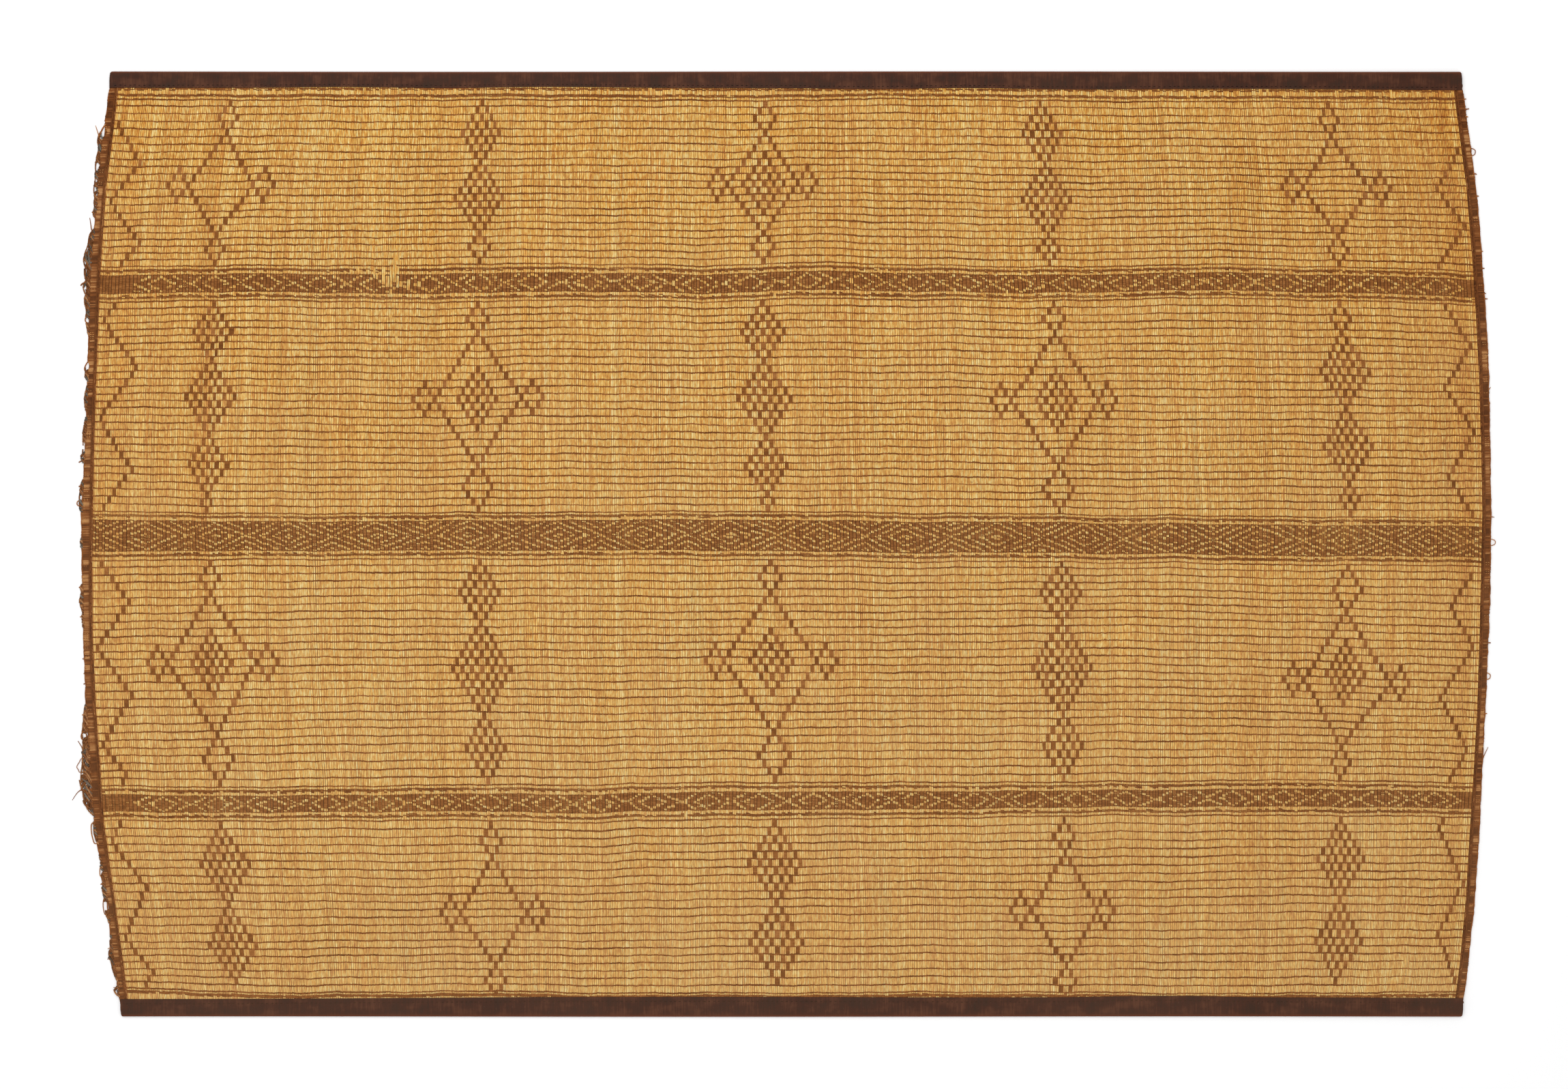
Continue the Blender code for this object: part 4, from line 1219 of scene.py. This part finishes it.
def edgeStrand(side, sign, kind, radii, places, chance):
    # one thong end or loop, rooted in the winding, and never under the floor
    flat = np.array(places) / 1000
    root = float(sideAt(side + "Edge", flat[0, 1])) - sign * edgeThongs["rootDepth"]["end"]
    if (flat[0, 0] - root) * sign > 0:
        flat = np.vstack(((root, flat[0, 1]), flat))
    if kind == "loop":
        root = float(sideAt(side + "Edge", flat[-1, 1])) - sign * edgeThongs["rootDepth"]["loop"]
        flat = np.vstack((flat, (root, flat[-1, 1])))
    path = smoothPath(flat, edgeThongs["stepsPerPlace"] * len(flat))
    radii = np.linspace(*(edgeThongs["growth"] * radius for radius in radii), len(path)) / 1000
    height = np.linspace(*edgeThongs["heights"], len(path)) + liftAt(path[:, 1])
    return strandOf(*path.T, np.maximum(height, radii + edgeThongs["clear"]), radii,
                    chance.uniform(*edgeThongs["tones"]))


def makeEdgeThongs():
    chance = np.random.default_rng(edgeThongs["seed"])
    run = edgeThongs["run"]
    for side, sign in sideSigns:
        strands = []
        size, count = run["wander"]
        wander = chance.normal(0, size, count)
        for first, last in edgeThongs["running"][side]:
            y = np.arange(first, last, run["pitch"])
            x = sideAt(side + "Edge", y) - sign * run["inset"] + np.interp(y, np.linspace(-1, 1, count), wander)
            z = edgeThongs["height"] + liftAt(y) + chance.normal(0, run["rise"], len(y))
            radii = edgeThongs["radius"] * chance.uniform(*run["radii"], len(y))
            strands.append(strandOf(x, y, z, radii, run["tone"]))
        for kind, start, stop, *places in edgeThongs[side]:
            strands.append(edgeStrand(side, sign, kind, (start, stop), places, chance))
        finishPiece(joinTubes("edge_thongs_" + side, strands, sides=6), sideThong)


makeEdgeThongs()


# Loose thongs crowd the left side. reach says how far they stand out of the winding, from the top down, and
# gaps are openings that show the floor: x, y, half width, half height. All in millimetres.

fray = {
    "seed": 29, "step": 5.0, "radius": 0.00165, "flat": 0.5, "most": 24.0, "least": 1.6, "grey": 0.22, "clear": 0.0001,
    "ends": (-0.872, 0.812), "jitter": 0.0006, "swell": (0.6, 1, 1.1, 1.1, 1, 0.8), "arch": 0.0013, "rise": 0.0008,
    "rootDepth": 0.003, "inset": 0.0006, "over": 0.0018, "tones": (0.1, 0.3, 0.5, 0.75, 1.0),
    # under: a lower layer of thongs in the darkest tones, painted shade beneath the upper ones
    "under": {"height": 0.0009, "lean": -0.7, "width": 1.4, "tones": (0, 0.25)},
    "reaches": (0.55, 1.12), "radii": (0.75, 1.2), "pathBend": (0.8, 1.8), "outBend": (0.9, 2.2), "bow": 0.25,
    "leanGrowth": (1.8, 1), "leans": (0.7, 1.3),
    "strapFlat": 0.7, "strapEnds": (-0.871, 0.812), "strapPitch": 0.0036, "strapHeight": 0.0016,
    "strapRadii": (0.65, 1.2), "strapTones": 0.12,
    "strapSway": 0.12, "strapWaves": (0.0007, 0.023, 9),      # size, length, and how far each strap's lie apart
    "reach": (
        (812, 0), (802, 3.3), (794, 7.2), (788, 8.7), (779, 7.6), (771, 5.3), (762, 3.6), (754, 4.7), (745, 6),
        (728, 5.7), (718, 4.6), (707, 4.8), (699, 5.5), (690, 6.5), (682, 6.2), (676, 4.9), (669, 4.1), (661, 4.8),
        (653, 3.5), (643, 6), (639, 0), (612, 0), (607, 4), (600, 8), (591, 9), (575, 10), (562, 14), (554, 15),
        (546, 14), (538, 11.5), (530, 9.6),
        (520, 9), (516, 10.7), (510, 7.2), (503, 14), (495, 8.5), (487, 5.7), (480, 8), (475, 9.6), (466, 8.8),
        (459, 6.5), (452, 5.3), (443, 6.2), (435, 6.4), (418, 3.9), (400, 0), (352, 0), (344, 6), (332, 5), (324, 5.7),
        (316, 0), (298, 3), (282, 6), (266, 3), (254, 0), (232, 3.5), (216, 5.9), (200, 5.2), (184, 4.4), (171, 5.3),
        (166, 7.9), (156, 0), (136, 0), (123, 2.4), (112, 4.7), (96, 6.2), (72, 5), (64, 0), (20, 0), (3, 3), (-10, 0),
        (-76, 0), (-84, 5.6), (-93, 2), (-109, 7), (-117, 5), (-133, 1.6), (-143, 2.6), (-163, 1.4), (-188, 1.2),
        (-300, 0), (-328, 6), (-345, 8), (-365, 11.7), (-381, 10.5), (-393, 11.2), (-406, 13.4), (-419, 14.3),
        (-439, 17.5), (-450, 19.5), (-466, 20.5), (-476, 17.8), (-492, 17), (-505, 12.7), (-518, 3.4), (-526, 0),
        (-536, 0), (-541, 2), (-561, 4), (-579, 1.4), (-623, 1.9), (-637, 5.3), (-653, 4.2), (-669, 7), (-685, 5.3),
        (-711, 6), (-735, 1), (-763, 1.8), (-777, 3.9), (-790, 3), (-801, 10), (-807, 6), (-821, 5.7), (-835, 3.1),
        (-847, 1), (-858, 2), (-862, 8), (-867, 2), (-871, 0)),
    "gaps": (
        (-1321.7, 797.1, 4.2, 8.0), (-1332.7, 730.5, 2.7, 9.7), (-1334.0, 701.4, 1.7, 3.8), (-1336.7, 686.2, 1.7, 6.3),
        (-1336.9, 655.5, 1.3, 3.0), (-1348.6, 575.2, 1.6, 2.2), (-1353.2, 568.0, 1.8, 3.0), (-1355.8, 495.3, 2.6, 3.4),
        (-1353.2, 435.0, 1.5, 7.0), (-1352.5, 342.7, 3.5, 6.0), (-1358.2, 187.0, 2.2, 10.0), (-1361.0, 86.0, 3.0, 6.0),
        (-1357.3, -371.3, 3.5, 6.3), (-1356.8, -494.9, 1.9, 4.8), (-1345.0, -640.0, 2.0, 6.0),
        (-1325.0, -636.0, 1.5, 6.0), (-1317.5, -702.0, 2.5, 12.0), (-1310.0, -777.0, 1.4, 4.0)),
    "straps": (  # thongs that run along: share of the reach, least reach, radius, tone, length of their waver
        (1.0, 2.8, 1.3, 0.5, 31), (0.6, 6, 1.6, 0.1, 43), (0.3, 8, 1.7, 0.3, 37), (0.82, 12, 1.5, 0.2, 29),
        (0.45, 12, 1.6, 0.0, 53), (0.12, 12, 1.6, 0.2, 61)),
}


def reachAt(y):
    places, sizes = np.array(fray["reach"][::-1]).T
    return np.interp(y, places / 1000, sizes) / 1000


def inGap(points):
    # which points lie in one of the openings
    inside = np.full(len(points), False)
    for x, y, wide, tall in fray["gaps"]:
        inside |= ((points[:, 0] * 1000 - x) / wide) ** 2 + ((points[:, 1] * 1000 - y) / tall) ** 2 < 1
    return inside


def looseThong(y, lean, height, radius, tone, chance):
    # a flat thong from the outline at y back into the winding
    reach = float(reachAt(y)) * chance.uniform(*fray["reaches"])
    u = np.linspace(0, 1, len(fray["swell"]))
    bow = chance.normal(0, fray["bow"])
    path = y - lean * (u ** chance.uniform(*fray["pathBend"]) + bow * np.sin(math.pi * u))
    out = reach * (1 - u ** chance.uniform(*fray["outBend"])) - fray["rootDepth"] * u - fray["inset"]
    radii = radius * chance.uniform(*fray["radii"]) * np.array(fray["swell"])
    arch = height + fray["arch"] * np.sin(math.pi * u) + fray["rise"] * u + liftAt(path)
    return strandOf(sideAt("leftEdge", path) - out, path, np.maximum(arch, fray["flat"] * radii + fray["clear"]), radii,
                    tone, fray["flat"])


def looseThongs(chance):
    # a thong over and one under at every step, some of them grey; the under ones are real thongs in dark tones, painted
    # shade beneath the upper ones
    under = fray["under"]
    growth, least = fray["leanGrowth"]
    brown, grey = [], []
    places = np.arange(*fray["ends"], fray["step"] / 1000)
    for y in places + chance.normal(0, fray["jitter"], len(places)):
        reach = float(reachAt(y)) * 1000
        if reach < fray["least"]:
            continue
        lean = min(reach * growth + least, fray["most"]) * chance.uniform(*fray["leans"]) / 1000
        upper = looseThong(y, lean, fray["over"], fray["radius"], chance.choice(fray["tones"]), chance)
        lower = looseThong(y, lean * under["lean"], under["height"], fray["radius"] * under["width"],
                           chance.uniform(*under["tones"]), chance)
        for thong in (upper, lower):
            if not inGap(thong["points"]).any():
                (grey if chance.random() < fray["grey"] else brown).append(thong)
    return brown, grey


def strapPieces(chance):
    # the straps, cut where the reach is too small or an opening lies
    size, length, apart = fray["strapWaves"]
    y = np.arange(*fray["strapEnds"], fray["strapPitch"])
    pieces = []
    for share, least, radius, tone, waver in fray["straps"]:
        reach = reachAt(y)
        sway = fray["strapSway"] * (share < 1) * np.sin(2 * math.pi * y / waver * 1000)
        x = sideAt("leftEdge", y) - (reach * (share + sway) - radius / 1000)
        height = fray["strapHeight"] + size * np.sin(2 * math.pi * y / length + apart * share) + liftAt(y)
        radii = radius / 1000 * chance.uniform(*fray["strapRadii"], len(y))
        points = np.column_stack((x, y, np.maximum(height, fray["strapFlat"] * radii + fray["clear"])))
        loose = (reach > least / 1000) & ~inGap(points)
        for first in np.flatnonzero(loose & ~np.roll(loose, 1)):
            last = first + int(np.argmin(np.append(loose[first:], False)))
            if last - first > 2:
                span = slice(max(first - 1, 0), last + 1)
                shade = tonesAbout(chance, tone, fray["strapTones"])
                pieces.append(strandOf(*points[span].T, radii[span], shade, fray["strapFlat"]))
    return pieces


def makeFray():
    chance = np.random.default_rng(fray["seed"])
    brown, grey = looseThongs(chance)
    finishPiece(joinTubes("edge_fray", brown + strapPieces(chance), sides=4), frayThong)
    finishPiece(joinTubes("edge_fray_grey", grey, sides=4), greyThong)


makeFray()


# The bindings: dark leather folded over the reed ends at the top and bottom, held by a running stitch.
# edge holds how far out the leather ends, at shares of the way across.

bindings = (
    {"name": "top", "side": 1, "inset": 0.0046, "seed": 61, "edge": (
        (0, 0.8832), (0.11, 0.8834), (0.17, 0.8846), (0.25, 0.8828), (0.32, 0.8848), (0.40, 0.8832), (0.50, 0.8824),
        (0.57, 0.8808), (0.63, 0.8828), (0.71, 0.8800), (0.82, 0.8812), (0.92, 0.8800), (1, 0.8786))},
    {"name": "bottom", "side": -1, "inset": 0.0086, "seed": 62, "edge": (
        (0, 0.8805), (0.10, 0.8800), (0.20, 0.8785), (0.30, 0.8768), (0.40, 0.8760), (0.50, 0.8762), (0.60, 0.8770),
        (0.70, 0.8768), (0.78, 0.8740), (0.84, 0.8765), (0.92, 0.8775), (1, 0.8785))},
)
bindingShape = {
    "outer": 0.9150, "height": 0.0064, "under": 0.0004, "fold": 0.0026, "lip": 0.0006, "corner": 0.005,
    "shares": (0.1, 0.2, 0.32, 0.45, 0.6, 0.75, 0.88), "cellsAlong": 220, "darkFrom": 0.86,
    "rise": 0.00018, "sink": 0.0002, "sway": 0.0004, "swayRadians": 9, "smooth": math.radians(50), "tone": 0.45,
    "waves": ((70, 40, 1), (31, -9, 1), (163, 0, 0.6)),     # radians across the mat and across the strip, and size
    "calm": {"within": 0.05, "share": 0.3}, "endShare": 0.02, "middle": 0.003, "darkAbove": 0.001,
}
bindingStitches = {"pitch": 0.0094, "length": 0.0046, "margin": 0.012, "jitter": (0.0006, 0.0003), "lean": 0.04,
                   "depth": 0.0005, "dips": (-0.0006, 0.0005), "path": ((-1, 1), (-0.7, 0), (0.7, 0), (1, 1)),
                   "radii": (0.5, 0.85, 0.85, 0.5), "reaches": (0.42, 0.55), "tone": 0.4, "seed": 5}


def bindingEnds(side):
    return [float(sideAt(name, 0.9 * side)) for name in ("leftEdge", "rightEdge")]


def innerEdge(binding, across):
    # where the leather ends on the reeds, by the share of the way across
    places, heights = zip(*binding["edge"])
    return float(binding["side"] * curveAt(places, heights, across))


def bindingProfile():
    # the leather's outline seen from its end: share of the width from the inner edge, shift, and height
    lip, fold, top = bindingShape["lip"], bindingShape["fold"], bindingShape["height"]
    points = [(0, lip * (1 - math.cos(a)), top - lip + lip * math.sin(a)) for a in np.linspace(0, math.pi / 2, 4)]
    points += [(share, 0, top) for share in bindingShape["shares"]]
    points += [(1, -fold + fold * math.sin(a), top - fold + fold * math.cos(a)) for a in np.linspace(0, math.pi / 2, 5)]
    points += [(share, shift, top - z) for share, shift, z in (*points[:3:-1], *points[3::-1])]
    return points


def shapeBinding(binding, across, share, shift, z, phases):
    # where a point of the leather lies, by its share across and its place in the profile
    side, corner, rim, sway = binding["side"], bindingShape["corner"], bindingShape["outer"], bindingShape["sway"]
    left, right = bindingEnds(side)
    inner = innerEdge(binding, across)
    outer = side * (rim - sway + sway * math.sin(bindingShape["swayRadians"] * across + phases[0]))
    y = inner + (outer - inner) * share + side * shift
    past = max(0, corner - (rim - abs(y)))
    cutBack = corner - math.sqrt(max(0, corner**2 - past**2))
    x = left + cutBack + (right - left - 2 * cutBack) * across
    if min(across, 1 - across) < bindingShape["endShare"]:
        x = float(np.clip(x, sideAt("leftEdge", y) + cutBack, sideAt("rightEdge", y) - cutBack))
    waves, calm = bindingShape["waves"], bindingShape["calm"]
    wave = sum(size * math.sin(over * across + along * share + phase)
               for (over, along, size), phase in zip(waves, phases[1:])) / sum(size for _, _, size in waves)
    rise = bindingShape["rise"] * wave * (1 if calm["within"] < share < 1 - calm["within"] else calm["share"])
    if z > bindingShape["middle"]:
        return x, y, min(z + rise, bindingShape["height"]) - bindingShape["sink"]
    return x, y, max(z, bindingShape["under"])


def makeBinding(binding):
    chance = np.random.default_rng(binding["seed"])
    profile = bindingProfile()
    piece = cutRod(len(profile), 2, (0, math.pi / 2, 0), bindingShape["cellsAlong"] - 1)
    piece.name = "binding_" + binding["name"] + "_leather"
    bpy.ops.object.mode_set(mode="OBJECT")
    step = 2 * math.pi / len(profile)
    first = min(math.atan2(v.co.z, v.co.y) % step for v in piece.data.vertices)
    phases = chance.uniform(0, 2 * math.pi, 4)
    darkFrom, darkAbove, edges = bindingShape["darkFrom"], bindingShape["darkAbove"], []
    for v in piece.data.vertices:
        share, shift, z = profile[round((math.atan2(v.co.z, v.co.y) - first) / step) % len(profile)]
        v.co = shapeBinding(binding, (v.co.x + 1) / 2, share, shift, z, phases)
        edges.append(max(0, (share - darkFrom) / (1 - darkFrom)) if v.co.z > darkAbove else 0)
    setValues(piece.data, len(edges), edge=edges, tone=bindingShape["tone"])
    outwards(piece)
    piece.select_set(True)
    bpy.context.view_layer.objects.active = piece
    bpy.ops.object.shade_smooth_by_angle(angle=bindingShape["smooth"])
    finishPiece(piece, bindingHide, ("binding_" + binding["name"],))


def makeBindingStitches():
    # running stitches along both bindings, above and below
    chance = np.random.default_rng(bindingStitches["seed"])
    along, dip = np.array(bindingStitches["path"]).T
    heights = (bindingShape["height"] - bindingStitches["depth"], bindingShape["under"] + bindingStitches["depth"])
    strands = []
    for binding in bindings:
        side, margin = binding["side"], bindingStitches["margin"]
        left, right = bindingEnds(side)
        for x in np.arange(left + margin, right - margin, bindingStitches["pitch"]):
            x = x + chance.normal(0, bindingStitches["jitter"][0])
            inner = innerEdge(binding, (x - left) / (right - left))
            y = inner + side * binding["inset"] + chance.normal(0, bindingStitches["jitter"][1])
            reach = along * (bindingStitches["length"] * chance.uniform(*bindingStitches["reaches"]))
            for z, drop in zip(heights, bindingStitches["dips"]):
                strands.append(strandOf(x + reach, y + reach * bindingStitches["lean"], z + dip * drop,
                                        np.array(bindingStitches["radii"]) / 1000, bindingStitches["tone"]))
    finishPiece(joinTubes("binding_stitches", strands, sides=4), hideThread)


for binding in bindings:
    makeBinding(binding)
makeBindingStitches()


# A plain pale floor, soft light from above, and the camera straight over the mat.

studio = {
    "floor": {"Base Color": (0.985, 0.985, 0.985, 1), "Roughness": 0.9, "Emission Color": (1, 1, 1, 1),
              "Emission Strength": 0.09},
    "floorSize": 14, "floorLevel": -0.0001, "sky": {"Color": (1, 1, 1, 1), "Strength": 0.762},
    "lampPower": 50.0, "lampSize": 3.4, "lampPlace": (-0.7, 0.8, 3.6),
    "frameWidth": 2299 * 0.0013208, "lens": 70.0, "sensor": 36, "centre": (-0.0020, -0.0007), "surface": 0.0036,
}


def setSockets(node, values):
    for name, value in values.items():
        node.inputs[name].default_value = value


def makeStudio():
    startMesh()
    bpy.ops.mesh.primitive_plane_add(size=studio["floorSize"], location=(0, 0, studio["floorLevel"]))
    floor = bpy.context.object
    floor.name = "floor"
    pale = bpy.data.materials.new("paleFloor")
    pale.use_nodes = True
    setSockets(pale.node_tree.nodes["Principled BSDF"], studio["floor"])
    floor.data.materials.append(pale)
    world = bpy.data.worlds.new("softSky")
    world.use_nodes = True
    setSockets(world.node_tree.nodes["Background"], studio["sky"])
    bpy.context.scene.world = world
    x, y, z = studio["lampPlace"]
    bpy.ops.object.light_add(type="AREA", location=(x, y, z))
    lamp = bpy.context.object
    lamp.data.size = studio["lampSize"]
    lamp.data.energy = studio["lampPower"]
    lamp.rotation_euler = (-math.atan2(y, z), math.atan2(x, z), 0)
    distance = studio["frameWidth"] * studio["lens"] / studio["sensor"]
    bpy.ops.object.camera_add(location=(*studio["centre"], distance + studio["surface"]), rotation=(0, 0, 0))
    camera = bpy.context.object
    camera.data.lens = studio["lens"]
    camera.data.sensor_width = studio["sensor"]
    camera.data.clip_end = 100
    bpy.context.scene.camera = camera
    bpy.context.scene.view_settings.view_transform = "Standard"


makeStudio()
